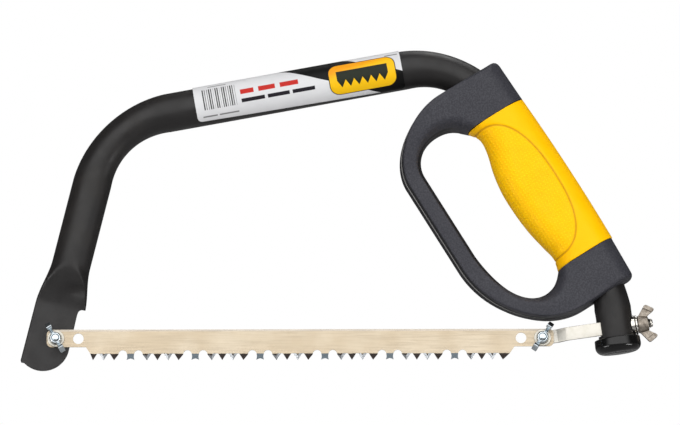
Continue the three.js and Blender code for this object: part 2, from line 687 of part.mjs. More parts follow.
// A wing nut about the Z axis, its seat at zero: a conical hub and two leaning wings.
function wingNut(hubLow, hubHigh, hubLength, reach, boreR, wingThick) {
  const hub = new THREE.LatheGeometry([
    uv(0, 0), uv(hubLow, 0), uv(hubLow, 0.8), uv(hubHigh, hubLength), uv(0, hubLength),
  ], 24);
  hub.rotateX(Math.PI / 2);
  const k = reach / 11.2;
  const outline = new THREE.Shape();
  outline.moveTo(1.5, 1);
  outline.lineTo(hubLow - 0.3, 0.7 * k);
  outline.lineTo(8.9 * k, 4.1 * k);
  outline.quadraticCurveTo(11.6 * k, 7 * k, 10.9 * k, 9.2 * k);
  outline.quadraticCurveTo(9.6 * k, 12 * k, 7.3 * k, 11.6 * k);
  outline.lineTo(hubHigh - 0.2, hubLength - 0.3);
  outline.lineTo(1.5, hubLength - 0.3);
  outline.closePath();
  const wing = new THREE.ExtrudeGeometry(outline, {
    depth: wingThick, bevelEnabled: false, curveSegments: 6,
  });
  wing.translate(0, 0, -wingThick / 2);
  wing.rotateX(Math.PI / 2);
  const other = wing.clone().rotateZ(Math.PI);
  const bore = new THREE.CylinderGeometry(boreR, boreR, 4 * hubLength, 24).rotateX(Math.PI / 2);
  return geometryOf(solidOf(hub).add(solidOf(wing)).add(solidOf(other)).subtract(solidOf(bore)));
}

// A blade nut, facing -Y, its wings turned by `turn` in the plane of the blade.
function bladeNut(x, z, turn) {
  const geometry = wingNut(3.9, 3.4, NUT_HUB, 10, SCREW_R + GAP, 2.4);
  geometry.rotateX(Math.PI / 2);
  geometry.rotateY(turn);
  geometry.translate(x, nutSeat, z);
  return geometry;
}

// ------------------------------------------------------------------ tensioner
// The strap lies behind the blade, steps forward, runs into the tail through its slot, and ends
// in a square flange that the stud's head pulls on.
const strapNearFront = -TOE_HALF_THICK;
const strapNearRear = -5.9;

function tensionStrap() {
  const front = -strapReach - 5.2;
  const stepStart = -strapReach + 9;
  const stepEnd = stepStart + 5.6;
  const flange = -4.2;
  const side = new THREE.Shape();
  side.moveTo(front, -strapNearFront);
  side.lineTo(stepStart, -strapNearFront);
  side.lineTo(stepEnd, -strapNearRear);
  side.lineTo(flange, -strapNearRear);
  side.lineTo(flange, strapNearRear + 0.4);
  side.lineTo(flange - STRAP_THICK, strapNearRear + 0.4);
  side.lineTo(flange - STRAP_THICK, -strapNearRear - STRAP_THICK);
  side.lineTo(stepEnd + 0.7, -strapNearRear - STRAP_THICK);
  side.lineTo(stepStart + 0.7, -strapNearFront - STRAP_THICK);
  side.lineTo(front, -strapNearFront - STRAP_THICK);
  side.closePath();
  const bar = new THREE.ExtrudeGeometry(side, { depth: STRAP_WIDE, bevelEnabled: false });
  bar.translate(0, 0, -STRAP_WIDE / 2);
  bar.rotateX(Math.PI);
  const studHole = alongX(STUD_R + GAP, flange - 5, flange + 5);
  const screwHole = new THREE.CylinderGeometry(SCREW_R + GAP, SCREW_R + GAP, 30, 24);
  screwHole.translate(-strapReach, 0, 0);
  const solid = solidOf(bar).subtract(solidOf(studHole)).subtract(solidOf(screwHole));
  return onPullLine(geometryOf(solid));
}

function tensionStud() {
  const headEnd = -4.2 - STRAP_THICK - GAP;
  const head = new THREE.CylinderGeometry(4.1, 4.1, 3, 6);
  head.rotateZ(-Math.PI / 2);
  head.translate(headEnd - 1.5, 0, 0);
  const shank = alongX(STUD_R, headEnd - 1, STUD_TIP);
  return onPullLine(geometryOf(solidOf(head).add(solidOf(shank))));
}

const saddleFlat = STUB_R + GAP + 0.7;
const tensionWasherStart = saddleFlat + GAP;
const tensionNutSeat = tensionWasherStart + WASHER_THICK + GAP;

function saddleWasher() {
  const tail = new THREE.CylinderGeometry(STUB_R + GAP, STUB_R + GAP, 60, 64).rotateX(Math.PI / 2);
  return onPullLine(geometryOf(solidOf(alongX(SADDLE_R, 6, saddleFlat))
    .subtract(solidOf(alongX(STUD_R + GAP, 0, 20)))
    .subtract(solidOf(tail))));
}

function tensionWasher() {
  const end = tensionWasherStart + WASHER_THICK;
  return onPullLine(geometryOf(solidOf(alongX(WASHER_R, tensionWasherStart, end))
    .subtract(solidOf(alongX(STUD_R + GAP, 0, 30)))));
}

function tensionNut() {
  const geometry = wingNut(5.2, 4.4, 6.6, 11.2, STUD_R + GAP, 2.8);
  geometry.rotateY(Math.PI / 2);
  geometry.translate(tensionNutSeat, 0, 0);
  return onPullLine(geometry);
}

// ------------------------------------------------------------------ the assembly
const BLACK_COAT = { color: 0x2f2d2d, roughness: 0.5, metalness: 0.1 };
const BLACK_PLASTIC = { color: 0x3f3f41, roughness: 0.65, metalness: 0 };
const YELLOW_RUBBER = { color: 0xf8c80c, roughness: 0.55, metalness: 0 };
const BLADE_STEEL = { color: 0xcdbfa4, roughness: 0.35, metalness: 0.85 };
const ZINC = { color: 0xc9d3d6, roughness: 0.25, metalness: 0.95 };
const CAST_ZINC = { color: 0xa79b88, roughness: 0.45, metalness: 0.85 };
const NICKEL = { color: 0xe4e0d6, roughness: 0.25, metalness: 0.95 };
const VINYL = { color: 0x0c0c0c, roughness: 0.15, metalness: 0 };
const PAPER = { color: 0xf4f4f2, roughness: 0.5, metalness: 0 };

const saw = new THREE.Group();

function addPiece(name, geometry, finish) {
  const mesh = new THREE.Mesh(geometry, new THREE.MeshStandardMaterial(finish));
  mesh.name = name;
  saw.add(mesh);
}

addPiece('frame_tube', frameTube(), BLACK_COAT);
addPiece('tube_end_cap', tubeEndCap(), VINYL);
addPiece('tube_label', tubeLabel(), PAPER);
addPiece('handle_half_near', nearHalf(handleDrilled), BLACK_PLASTIC);
addPiece('handle_half_far', farHalf(handleDrilled), BLACK_PLASTIC);
addPiece('grip_pad_near', nearHalf(padTrim(padBody)), YELLOW_RUBBER);
addPiece('grip_pad_far', farHalf(padTrim(padBody)), YELLOW_RUBBER);
HANDLE_SCREWS.forEach((place, index) => {
  addPiece(`handle_screw_${index + 1}`, handleScrew(index), ZINC);
});
addPiece('blade', plate(bladeShape(), bladeNear, bladeFar, 6), BLADE_STEEL);

addPiece('front_blade_screw', bladeScrew(0, 0, TOE_HALF_THICK), ZINC);
addPiece('front_washer', ringY(0, 0, 5.1, SCREW_R + GAP, washerNear, washerFar), ZINC);
addPiece('front_wing_nut', bladeNut(0, 0, rad(59.5)), ZINC);
addPiece('rear_blade_screw', bladeScrew(rearScrew.x, 0, -TOE_HALF_THICK + STRAP_THICK), ZINC);
addPiece('rear_washer', ringY(rearScrew.x, 0, 5.1, SCREW_R + GAP, washerNear, washerFar), ZINC);
addPiece('rear_wing_nut', bladeNut(rearScrew.x, 0, rad(-55.5)), ZINC);

addPiece('tension_strap', tensionStrap(), NICKEL);
addPiece('tension_stud', tensionStud(), NICKEL);
addPiece('saddle_washer', saddleWasher(), NICKEL);
addPiece('tension_washer', tensionWasher(), NICKEL);
addPiece('tension_wing_nut', tensionNut(), CAST_ZINC);

// The origin goes to the middle of the lowest face of the saw's box.
const box = new THREE.Box3().setFromObject(saw);
const middle = box.getCenter(new THREE.Vector3());
saw.position.set(-middle.x, -middle.y, -box.min.z);
saw.updateMatrixWorld(true);

export default saw;
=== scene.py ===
# Bow saw: the visible surfaces and materials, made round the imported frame.
# A piece is drawn in millimetres, with x along the blade towards the handle, z up, and zero at the
# front blade screw. install() then takes it to its place in the frame, in metres.
import json
import math

import bmesh
import bpy
from mathutils import Matrix, Vector


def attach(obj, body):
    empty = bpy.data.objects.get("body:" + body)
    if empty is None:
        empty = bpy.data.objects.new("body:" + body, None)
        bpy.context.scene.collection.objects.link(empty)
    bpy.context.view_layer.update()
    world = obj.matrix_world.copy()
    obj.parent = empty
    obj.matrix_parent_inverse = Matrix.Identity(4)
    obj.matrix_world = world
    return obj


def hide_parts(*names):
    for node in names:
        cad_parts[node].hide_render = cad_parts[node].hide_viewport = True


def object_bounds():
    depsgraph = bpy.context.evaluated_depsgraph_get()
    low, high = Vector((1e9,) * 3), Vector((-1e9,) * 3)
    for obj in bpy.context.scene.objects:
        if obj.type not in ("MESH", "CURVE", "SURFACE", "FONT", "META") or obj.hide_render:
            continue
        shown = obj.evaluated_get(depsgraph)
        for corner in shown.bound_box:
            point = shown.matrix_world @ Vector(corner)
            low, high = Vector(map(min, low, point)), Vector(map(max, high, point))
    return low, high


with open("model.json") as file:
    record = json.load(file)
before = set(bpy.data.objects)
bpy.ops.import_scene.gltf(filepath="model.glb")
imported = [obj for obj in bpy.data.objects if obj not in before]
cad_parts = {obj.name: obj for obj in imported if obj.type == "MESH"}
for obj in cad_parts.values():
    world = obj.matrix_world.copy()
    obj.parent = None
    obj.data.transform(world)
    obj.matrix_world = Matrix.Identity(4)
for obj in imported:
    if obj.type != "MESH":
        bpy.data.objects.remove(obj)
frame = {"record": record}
cad_low, cad_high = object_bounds()
record = frame["record"]
joints = {joint["name"]: joint for joint in record["behaviour"]["joints"]}
body_of = {node: body for body, nodes in record["behaviour"]["bodies"].items() for node in nodes}

MM = 0.001
front_screw = Vector(joints["front_nut_turn"]["pos_m"])
to_row = Matrix.Translation(front_screw) @ Matrix.Scale(MM, 4)


def drawn(point):
    """A point of the frame, as (x, z) in drawing millimetres."""
    gap = (Vector(point) - front_screw) / MM
    return Vector((gap.x, gap.z))


def leaning(degrees, upright=1):
    """Direction that leans away from vertical towards +x."""
    return Vector((math.sin(math.radians(degrees)), upright * math.cos(math.radians(degrees))))


# ------------------------------------------------------------------ driving dimensions
GAP = 0.3                       # air between neighbouring pieces
FAR = 60.0                      # a cutting tool runs this far past everything

# Tube.
TUBE_R = 11.65
TUBE_WALL = 1.6
STUB_R = 10.9
BEND_SQUEEZE = 1.2
LEG_LENGTH = 134.6
TOP_LENGTH = 218.8
GRIP_LENGTH = 166.0
STUB_LENGTH = 36.0
BEND_RADII = (57.0, 53.0, 53.0)
TOE_OFFSET = 2.4
TOE_HALF_WIDTH = 15.3
TOE_HALF_THICK = 1.6
TOE_LOW = 21.0
FLAT_START = 19.0
ROUND_START = 46.0
TUBE_SIDES = 80
PRESS = 2.2                     # how much squarer the section gets where it is pressed flat
DENT_UP = 31.0                  # the dent where the press stopped, from the front blade screw
DENT_ACROSS = 9.0
DENT_SLANT = 0.6
DENT_LONG = 7.0
DENT_WIDE = 3.2
DENT_DEEP = 0.42
HOLLOW_START = 34.0

leg_up = leaning(14)
top_along = Vector((math.cos(math.radians(10.2)), math.sin(math.radians(10.2))))
grip_down = leaning(32, -1)
pull_axis = Vector(joints["tension_nut_turn"]["axis"])
stub_down = Vector((pull_axis.z, -pull_axis.x))
leg_across = Vector((leg_up.y, -leg_up.x))
top_normal = Vector((-top_along.y, top_along.x))
grip_out = Vector((-grip_down.y, grip_down.x))

toe_axis = -TOE_OFFSET * leg_across
front_corner = toe_axis + LEG_LENGTH * leg_up
rear_corner = front_corner + TOP_LENGTH * top_along
lower_corner = rear_corner + GRIP_LENGTH * grip_down
stub_end = lower_corner + STUB_LENGTH * stub_down
rear_screw = drawn(joints["rear_nut_turn"]["pos_m"])
pull_centre = drawn(joints["tension_nut_turn"]["pos_m"])
strap_reach = (pull_centre - rear_screw).length

# Blade.
BLADE_LENGTH = 305.0
BLADE_THICK = 0.9
BLADE_TOP = 5.5
TAB_DROP = 5.1
TAB_LENGTH = 23.6
TOOTH_ROOT = 9.0
TOOTH_TIP = 13.1
TOOTH_HALF = 2.6
TOOTH_PITCH = 6.35
GULLET_TOP = 7.0
GULLET_R = 2.6
GULLET_OFF = 4.7
BLADE_HOLE_R = 3.2
SPARE_HOLE = 12.9
BLADE_PLAY = 0.6
FIRST_RAKER = 50.5
RAKER_PITCH = 39.0
RAKERS = 6
RAKER_HALF = 2.3
RAKER_WAIST = 1.85
RAKER_CLEAR = 9.9
FACET = 1.7                     # width of the filed bevel on a tooth's flanks
SCREW_R = 2.4
blade_left = BLADE_PLAY - (BLADE_LENGTH - rear_screw.x) / 2
blade_far = -(TOE_HALF_THICK + GAP)
blade_near = blade_far - BLADE_THICK

# Fixings and tensioner.
WASHER_THICK = 1.0
washer_far = blade_near - GAP
nut_seat = washer_far - WASHER_THICK - GAP
NUT_HUB = 4.6
STRAP_WIDE = 8.0
STRAP_THICK = 2.0
STRAP_FRONT = 5.2               # how far the strap runs past its screw
JOGGLE_START = 9.35             # from the rear blade screw
JOGGLE_END = 14.95
JOGGLE_NEAR = -5.9              # near face of the strap behind the joggle
FLANGE = 4.2                    # from the tail's centre line to the strap's turned-up end
STUD_R = 2.9
STUD_TIP = 22.5
SADDLE_R = 6.1
saddle_flat = STUB_R + GAP + 0.7
tension_washer_start = saddle_flat + GAP
tension_nut_seat = tension_washer_start + WASHER_THICK + GAP

# Handle: u runs down the grip from the rear corner, v outwards from the tube's centre line.
HANDLE_TOP = 12.0
HANDLE_BOTTOM = 167.3
PAD_TOP = 40.0
PAD_BOTTOM = 140.4
PALM = 16.5
GUARD_OUT = -71.7
GUARD_IN = -57.9
PAD_THICK = 2.6
PARTING_CHAMFER = 0.2
LEDGE_DEPTH = 6.2               # from the parting plane to the ledge along the guard's outer walls
LEDGE_RISE = 0.1
HANDLE_SCREWS = ((24, -31), (58, -64.8), (112, -64.6), (156.5, -30))
SCREW_HOLE_R = 1.9
HEAD_POCKET_R = 3.3
HEAD_SEAT = 5.0
BLIND_HOLE = 6.5                # depth of the screw holes in the near half


def at_depth(point, y):
    """An (x, z) point of the drawing as (x, y, z)."""
    return Vector((point[0], y, point[1]))


def on_handle(u, v, y=0.0):
    return at_depth(rear_corner + u * grip_down + v * grip_out, y)


# ------------------------------------------------------------------ mesh tools
def shade(piece, crease=35):
    """Smooth faces, with the edges sharper than `crease` degrees kept crisp."""
    made = bmesh.new()
    made.from_mesh(piece.data)
    bmesh.ops.remove_doubles(made, verts=made.verts, dist=1e-4)
    bmesh.ops.recalc_face_normals(made, faces=made.faces)
    for face in made.faces:
        face.smooth = True
    for edge in made.edges:
        edge.smooth = edge.is_manifold and edge.calc_face_angle() < math.radians(crease)
    made.to_mesh(piece.data)
    made.free()
    return piece


def linked(name, data):
    """A new object of the scene that shows a mesh, light or camera."""
    made = bpy.data.objects.new(name, data)
    bpy.context.collection.objects.link(made)
    return made


def skin(name, rings, loop=False, crease=35):
    """A surface through rings of equally many points, closed at both ends or round on itself."""
    around = len(rings[0])
    points = [point for ring in rings for point in ring]
    faces = []
    for row in range(len(rings) if loop else len(rings) - 1):
        here = row * around
        ahead = (row + 1) % len(rings) * around
        for i in range(around):
            j = (i + 1) % around
            faces.append((here + i, here + j, ahead + j, ahead + i))
    if not loop:
        faces.append(tuple(range(around)))
        faces.append(tuple(range(len(points) - around, len(points))))
    mesh = bpy.data.meshes.new(name)
    mesh.from_pydata(points, [], faces)
    return shade(linked(name, mesh), crease)


def turned(reach, height, sides=48):
    """Ring about the Z axis; the function `reach` gives its radius at each angle."""
    turns = [2 * math.pi * i / sides for i in range(sides)]
    return [Vector((reach(t) * math.cos(t), reach(t) * math.sin(t), height)) for t in turns]


def circle(radius, height, sides=48):
    return turned(lambda angle: radius, height, sides)


def hexagon(flat, height):
    """Ring of a hexagon, `flat` from its middle to its sides."""
    return turned(lambda angle: flat / math.cos(angle % (math.pi / 3) - math.pi / 6), height)


def lathe(name, profile, sides=48, loop=False):
    """Body of revolution about Z from (radius, height) pairs, on the axis at both ends or closed."""
    return skin(name, [circle(max(radius, 1e-6), height, sides) for radius, height in profile], loop)


def bar(radius, start, end, place, sides=48):
    """Round bar about Z from start to end, moved by the matrix `place`; a tool for round holes."""
    profile = [(0, start), (radius, start), (radius, end), (0, end)]
    return moved(lathe("bar", profile, sides), place)


def plate(name, outline, near, far):
    """An (x, z) outline with thickness from y = near to y = far."""
    return skin(name, [[at_depth(point, y) for point in outline] for y in (near, far)])


def arc(centre, radius, start, end, steps):
    """Points on an arc, from start to end degrees."""
    turns = [math.radians(start + (end - start) * i / steps) for i in range(steps + 1)]
    return [Vector((centre[0] + radius * math.cos(t), centre[1] + radius * math.sin(t))) for t in turns]


def soft_rectangle(low, high, soft, first):
    """Rectangle with its corners rounded; `first` is the direction, in degrees, of its first arc."""
    points = []
    for start in range(first, first + 360, 90):
        x = high[0] - soft if start % 360 in (0, 270) else low[0] + soft
        y = high[1] - soft if start % 360 in (0, 90) else low[1] + soft
        points += arc((x, y), soft, start, start + 90, 3)
    return points


def box(name, x, y, z):
    """Block between two values on each axis."""
    return plate(name, [(x[0], z[0]), (x[1], z[0]), (x[1], z[1]), (x[0], z[1])], *y)


def settle(piece):
    """Makes the result of the piece's modifiers its own mesh."""
    graph = bpy.context.evaluated_depsgraph_get()
    mesh = bpy.data.meshes.new_from_object(piece.evaluated_get(graph))
    piece.modifiers.clear()
    piece.data = mesh
    return piece


def cut(piece, *tools, crease=35, folded=False):
    """Takes the tools' volumes out of the piece; `folded` is for a piece that may cross itself."""
    for tool in tools:
        change = piece.modifiers.new("cut", "BOOLEAN")
        change.operation = "DIFFERENCE"
        change.solver = "EXACT"
        change.use_self = folded
        change.object = tool
    settle(piece)
    for tool in tools:
        bpy.data.objects.remove(tool)
    return shade(piece, crease)


def fuse(name, parts, grain=0.17, rounds=5):
    """Melts overlapping parts into one casting with small fillets."""
    merged = bmesh.new()
    for part in parts:
        merged.from_mesh(part.data)
        bpy.data.objects.remove(part)
    mesh = bpy.data.meshes.new(name)
    merged.to_mesh(mesh)
    merged.free()
    piece = linked(name, mesh)
    remesh = piece.modifiers.new("remesh", "REMESH")
    remesh.mode = "VOXEL"
    remesh.voxel_size = grain
    smooth = piece.modifiers.new("smooth", "SMOOTH")
    smooth.iterations = rounds
    settle(piece)
    return shade(piece, 180)


def moved(piece, matrix):
    piece.data.transform(matrix)
    return piece


def install(piece, node, material):
    """Puts a finished piece in its place in the frame, in the stead of its CAD node."""
    piece.data.transform(to_row)
    piece.data.materials.clear()
    for each in material if isinstance(material, tuple) else (material,):
        piece.data.materials.append(each)
    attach(piece, body_of[node])
    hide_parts(node)
    return piece


# Where things about the Z axis go: facing the near side, facing the far side, on the pull line.
facing_near = Matrix.Rotation(math.pi / 2, 4, "X")
facing_far = Matrix.Rotation(-math.pi / 2, 4, "X")
on_pull_line = Matrix((
    (pull_axis.z, 0, pull_axis.x, pull_centre.x),
    (0, 1, 0, 0),
    (-pull_axis.x, 0, pull_axis.z, pull_centre.y),
    (0, 0, 0, 1),
))
# The same for things drawn with their long axis on X, and from Z to X.
along_pull_line = on_pull_line @ Matrix.Rotation(-math.pi / 2, 4, "Y")
lying_on_x = Matrix.Rotation(math.pi / 2, 4, "Y")


def at(x, y, z):
    return Matrix.Translation((x, y, z))


def smoothstep(value, low, high):
    t = min(max((value - low) / (high - low), 0.0), 1.0)
    return t * t * (3 - 2 * t)


def mix(a, b, t):
    return a + (b - a) * t


# ------------------------------------------------------------------ frame tube
def bend(before, corner, after, radius):
    """How sharp a bend round a corner is, how far from the corner it starts, and a function that
    gives its (point, direction) at an angle from its start."""
    come, go = (corner - before).normalized(), (after - corner).normalized()
    turn = come.angle_signed(go)
    side = Vector((come.y, -come.x)) * (1 if turn > 0 else -1)
    back = radius * math.tan(abs(turn) / 2)

    def station(angle):
        centre = corner - back * come + radius * math.sin(angle) * come
        centre += radius * (1 - math.cos(angle)) * side
        return centre, math.cos(angle) * come + math.sin(angle) * side

    return abs(turn), back, station


def centre_line(step=2.0):
    """Stations (centre, direction, share of a bend) from the toe to the tail."""
    corners = [toe_axis - (TOE_LOW + 2) * leg_up, front_corner, rear_corner, lower_corner, stub_end]
    stations = []

    def straight(start, end):
        parts = max(1, math.ceil((end - start).length / step))
        way = (end - start).normalized()
        stations.extend((start.lerp(end, i / parts), way, 0.0) for i in range(parts))

    start = corners[0]
    for before, corner, after, radius in zip(corners, corners[1:], corners[2:], BEND_RADII):
        turn, back, station = bend(before, corner, after, radius)
        straight(start, corner + back * (before - corner).normalized())
        parts = math.ceil(turn * radius / step)
        for i in range(parts):
            stations.append((*station(turn * i / parts), math.sin(math.pi * i / parts)))
        start = corner + back * (after - corner).normalized()
    straight(start, stub_end)
    stations.append((stub_end, stub_down, 0.0))
    return stations


def tube_ring(station, extra=0.0):
    """Section of the tube: round, pressed flat towards the toe, dented where the press stopped."""
    centre, way, share = station
    up = (centre - toe_axis).dot(leg_up)
    on_leg = centre.x < front_corner.x
    flat = smoothstep(ROUND_START - up, 0, ROUND_START - FLAT_START) if on_leg else 0.0
    tail = smoothstep(-centre.y, -lower_corner.y, -lower_corner.y + 16)
    radius = TUBE_R if on_leg else mix(TUBE_R, STUB_R, tail)
    half_width = mix(radius, TOE_HALF_WIDTH, flat) - BEND_SQUEEZE * share + extra
    half_depth = mix(radius, TOE_HALF_THICK, flat) + extra
    press = 1 + PRESS * flat
    side = Vector((-way.y, way.x))
    ring = []
    for i in range(TUBE_SIDES):
        angle = 2 * math.pi * i / TUBE_SIDES
        place = centre + half_width * math.cos(angle) * side
        y = half_depth * min(max(press * math.sin(angle), -1.0), 1.0)
        if on_leg and 0 < flat < 1:
            across = (place - toe_axis).dot(leg_across)
            above = up - DENT_UP
            aside = across - DENT_ACROSS - DENT_SLANT * above
            y *= 1 - DENT_DEEP * math.exp(-(aside / DENT_LONG) ** 2 - (above / DENT_WIDE) ** 2)
        ring.append(at_depth(place, y))
    return ring


def grip_bore():
    """The tube from the middle of its top run to its tail, with the air round it."""
    middle = (front_corner + rear_corner) / 2
    stations = [station for station in centre_line(3.0) if station[0].x > middle.x]
    return skin("bore", [tube_ring(station, GAP) for station in stations])


def toe_trim():
    """What is trimmed off the flattened end: all that lies outside the toe's outline."""
    top = 40
    outline = [(FAR, top), (FAR, -FAR), (-FAR, -FAR), (-FAR, top)]
    outline += [(-22, top), (-22, 20), (-15.4, 14.4), (-15.4, -17.2), (-14.6, -18.6)]
    outline += arc((-4.5, -5), 15.9, -122, -3, 40)
    outline += [(10.9, 17)]
    outline += arc((13.6, 18.5), 2.6, 180, 90, 10)
    outline += [(22, 21.1), (22, top)]
    places = [toe_axis + across * leg_across + up * leg_up for across, up in outline]
    return plate("toe_trim", places, -20, 20)


def frame_tube():
    """The tube is open at the tail, and hollow from there to just above the pressed toe."""
    line = centre_line()
    rings = [tube_ring(station) for station in line]
    hollow = [station for station in line if (station[0] - toe_axis).dot(leg_up) > HOLLOW_START]
    rings += [tube_ring(station, -TUBE_WALL) for station in reversed(hollow)]
    tube = skin("tube", rings)
    half = STRAP_WIDE / 2 + 0.4
    slot = moved(box("slot", (-STUB_R - 4, -4), (-6.4, 6.4), (-half, half)), along_pull_line)
    stud_hole = bar(STUD_R + 0.4, 0, STUB_R + 5, on_pull_line)
    screw_hole = bar(SCREW_R + GAP, -FAR, FAR, facing_near)
    return cut(tube, toe_trim(), slot, stud_hole, screw_hole, crease=40)


def tube_end_cap():
    """Dipped vinyl cap: a thick dome with a soft rim."""
    outer, inner, height, base, dome = 13.85, STUB_R + GAP, 9.0, 2.2, 4.6
    lip = 0.75
    profile = [(0, 0.25), (4.5, 0.18), (outer - dome - 1.5, 0.04)]
    profile += arc((outer - dome, dome), dome, -90, 0, 12)
    profile += [(outer, 5.6), (outer - 0.12, 7.0)]
    profile += arc((outer - lip - 0.15, height - lip), lip, 0, 90, 6)
    profile += arc((inner + 0.5, height - 0.5), 0.5, 90, 180, 4)
    profile += [(inner, base), (0, base)]
    cap = lathe("end_cap", profile, 96)
    bottom = stub_end + (base + GAP) * stub_down
    lean = Matrix.Rotation(-math.atan2(pull_axis.z, pull_axis.x), 4, "Y")
    return moved(cap, at(bottom.x, 0, bottom.y) @ lean)


LABEL_START = 54.4              # from the front corner, along the top tube
LABEL_LENGTH = 126.8
LABEL_OPEN = 35                 # half of the uncovered angle underneath, in degrees
LABEL_TWIST = 14                # the film is stuck on a little askew: degrees over its length


def tube_label():
    """Printed film wrapped over the top tube; its UV map is (mm along, mm up from the near side)."""
    inner = TUBE_R + GAP
    outer = inner + 0.35
    steps = 72
    corner = 3.0
    rings = []
    rows = [0, 0.4, 0.9, 1.6, 2.4, corner]
    rows += [corner + (LABEL_LENGTH - 2 * corner) * i / 40 for i in range(1, 40)]
    rows += [LABEL_LENGTH - row for row in (corner, 2.4, 1.6, 0.9, 0.4, 0)]
    for row in rows:
        edge = min(row, LABEL_LENGTH - row, corner)
        drawn_in = corner - math.sqrt(corner ** 2 - (corner - edge) ** 2)
        half_turn = 180 - LABEL_OPEN - math.degrees(drawn_in / outer)
        middle = 90 - LABEL_TWIST * row / LABEL_LENGTH
        angles = [math.radians(middle + half_turn * (2 * i / steps - 1)) for i in range(steps + 1)]
        place = front_corner + (LABEL_START + row) * top_along
        ring = []
        for radius, turns in ((outer, angles), (inner, angles[::-1])):
            for angle in turns:
                spot = place + radius * math.sin(angle) * top_normal
                ring.append(at_depth(spot, -radius * math.cos(angle)))
        rings.append(ring)
    label = skin("label", rings)
    layer = label.data.uv_layers.new(name="print")
    for loop in label.data.loops:
        co = label.data.vertices[loop.vertex_index].co
        gap = Vector((co.x, co.z)) - front_corner
        up = outer * math.atan2(gap.dot(top_normal), -co.y)
        layer.data[loop.index].uv = (gap.dot(top_along) - LABEL_START, up)
    return label


# ------------------------------------------------------------------ handle
# How a rib is rounded: half depth, the radius and the squareness (2 is an ellipse) at its outer edge
# and at its inner edge, the draft of the side wall, and the step of the outer wall at the ledge.
GUARD = (10, 2.2, 4.5, 2.0, 4.5, 0.17, 0.6)
TOP_SLEEVE = (16, 1.5, 5.5, 9.0, 2.2, 0.02, 0)
SLEEVE_CORNER = (16, 6, 2.8, 8.6, 2.3, 0.01, 0)
BACK_SLEEVE = (16, 12, 2.2, 8.0, 2.4, 0, 0)
GRIP = (16.6, 15, 2.1, 15, 2.1, 0, 0)


def bezier(*corners):
    a, b, c, d = map(Vector, corners)
    return lambda t: (1 - t) ** 3 * a + 3 * (1 - t) ** 2 * t * b + 3 * (1 - t) * t ** 2 * c + t ** 3 * d


def line(a, b):
    return lambda t: Vector(a).lerp(Vector(b), t)


def spline(points):
    """Smooth curve through the points, each span given an equal share of t."""
    points = [Vector(point) for point in points]

    def curve(t):
        whole = min(int(t * (len(points) - 1)), len(points) - 2)
        s = t * (len(points) - 1) - whole
        a, b = points[max(whole - 1, 0)], points[whole]
        c, d = points[whole + 1], points[min(whole + 2, len(points) - 1)]
        start, end = (c - a) / 2, (d - b) / 2
        cubic = (2 * b - 2 * c + start + end) * s ** 3
        return cubic + (-3 * b + 3 * c - 2 * start - end) * s ** 2 + start * s + b

    return curve


finger_edge = spline([
    (PAD_TOP, -22), (47, -17.8), (56, -18.3), (69, -21.8), (82, -23.8),
    (96, -23.9), (110, -22.8), (123, -20.4), (132, -18.7), (PAD_BOTTOM, -20.6),
])
palm_edge = spline([(PAD_TOP, 17.3), (66, 18.2), (90, 18.6), (115, 18.6), (PAD_BOTTOM, 18.1)])

# Stretches of the handle, as (outer edge, inner edge, form at the start, form at the end).
GRIP_STRETCH = (palm_edge, finger_edge, GRIP, GRIP)
UPPER_STRETCHES = (
    (line((109, GUARD_OUT), (50, GUARD_OUT)), line((106, GUARD_IN), (49, GUARD_IN)), GUARD, GUARD),
    (
        bezier((50, GUARD_OUT), (30, GUARD_OUT), (HANDLE_TOP, -48), (HANDLE_TOP, -25)),
        bezier((49, GUARD_IN), (39.5, GUARD_IN), (31.9, -50), (31.9, -39)),
        GUARD, TOP_SLEEVE,
    ),
    (
        line((HANDLE_TOP, -25), (HANDLE_TOP, 12.6)),
        bezier((31.9, -39), (31.9, -33), (33.6, -29.2), (36.3, -26.1)),
        TOP_SLEEVE, SLEEVE_CORNER,
    ),
    (
        bezier((HANDLE_TOP, 12.6), (HANDLE_TOP, 15), (13.4, PALM), (15.8, PALM)),
        line((36.3, -26.1), (37.3, -25)),
        SLEEVE_CORNER, BACK_SLEEVE,
    ),
    (
        line((15.8, PALM), (PAD_TOP, PALM + 0.7)), line((37.3, -25), (PAD_TOP, -22)),
        BACK_SLEEVE, BACK_SLEEVE,
    ),
)
LOWER_STRETCHES = (
    (
        line((PAD_BOTTOM, PALM + 1), (163.6, PALM)), line((PAD_BOTTOM, -20.6), (142.6, -22.6)),
        BACK_SLEEVE, BACK_SLEEVE,
    ),
    (
        bezier((163.6, PALM), (166, PALM), (HANDLE_BOTTOM, 15), (HANDLE_BOTTOM, 12.8)),
        line((142.6, -22.6), (143.6, -23.6)),
        BACK_SLEEVE, SLEEVE_CORNER,
    ),
    (
        line((HANDLE_BOTTOM, 12.8), (HANDLE_BOTTOM, -20)),
        bezier((143.6, -23.6), (145.6, -26), (147.3, -28), (147.9, -33)),
        SLEEVE_CORNER, TOP_SLEEVE,
    ),
    (
        bezier((HANDLE_BOTTOM, -20), (HANDLE_BOTTOM, -47), (139, GUARD_OUT), (109, GUARD_OUT)),
        bezier((147.9, -33), (149, -47), (132, -56), (106, GUARD_IN)),
        TOP_SLEEVE, GUARD,
    ),
)


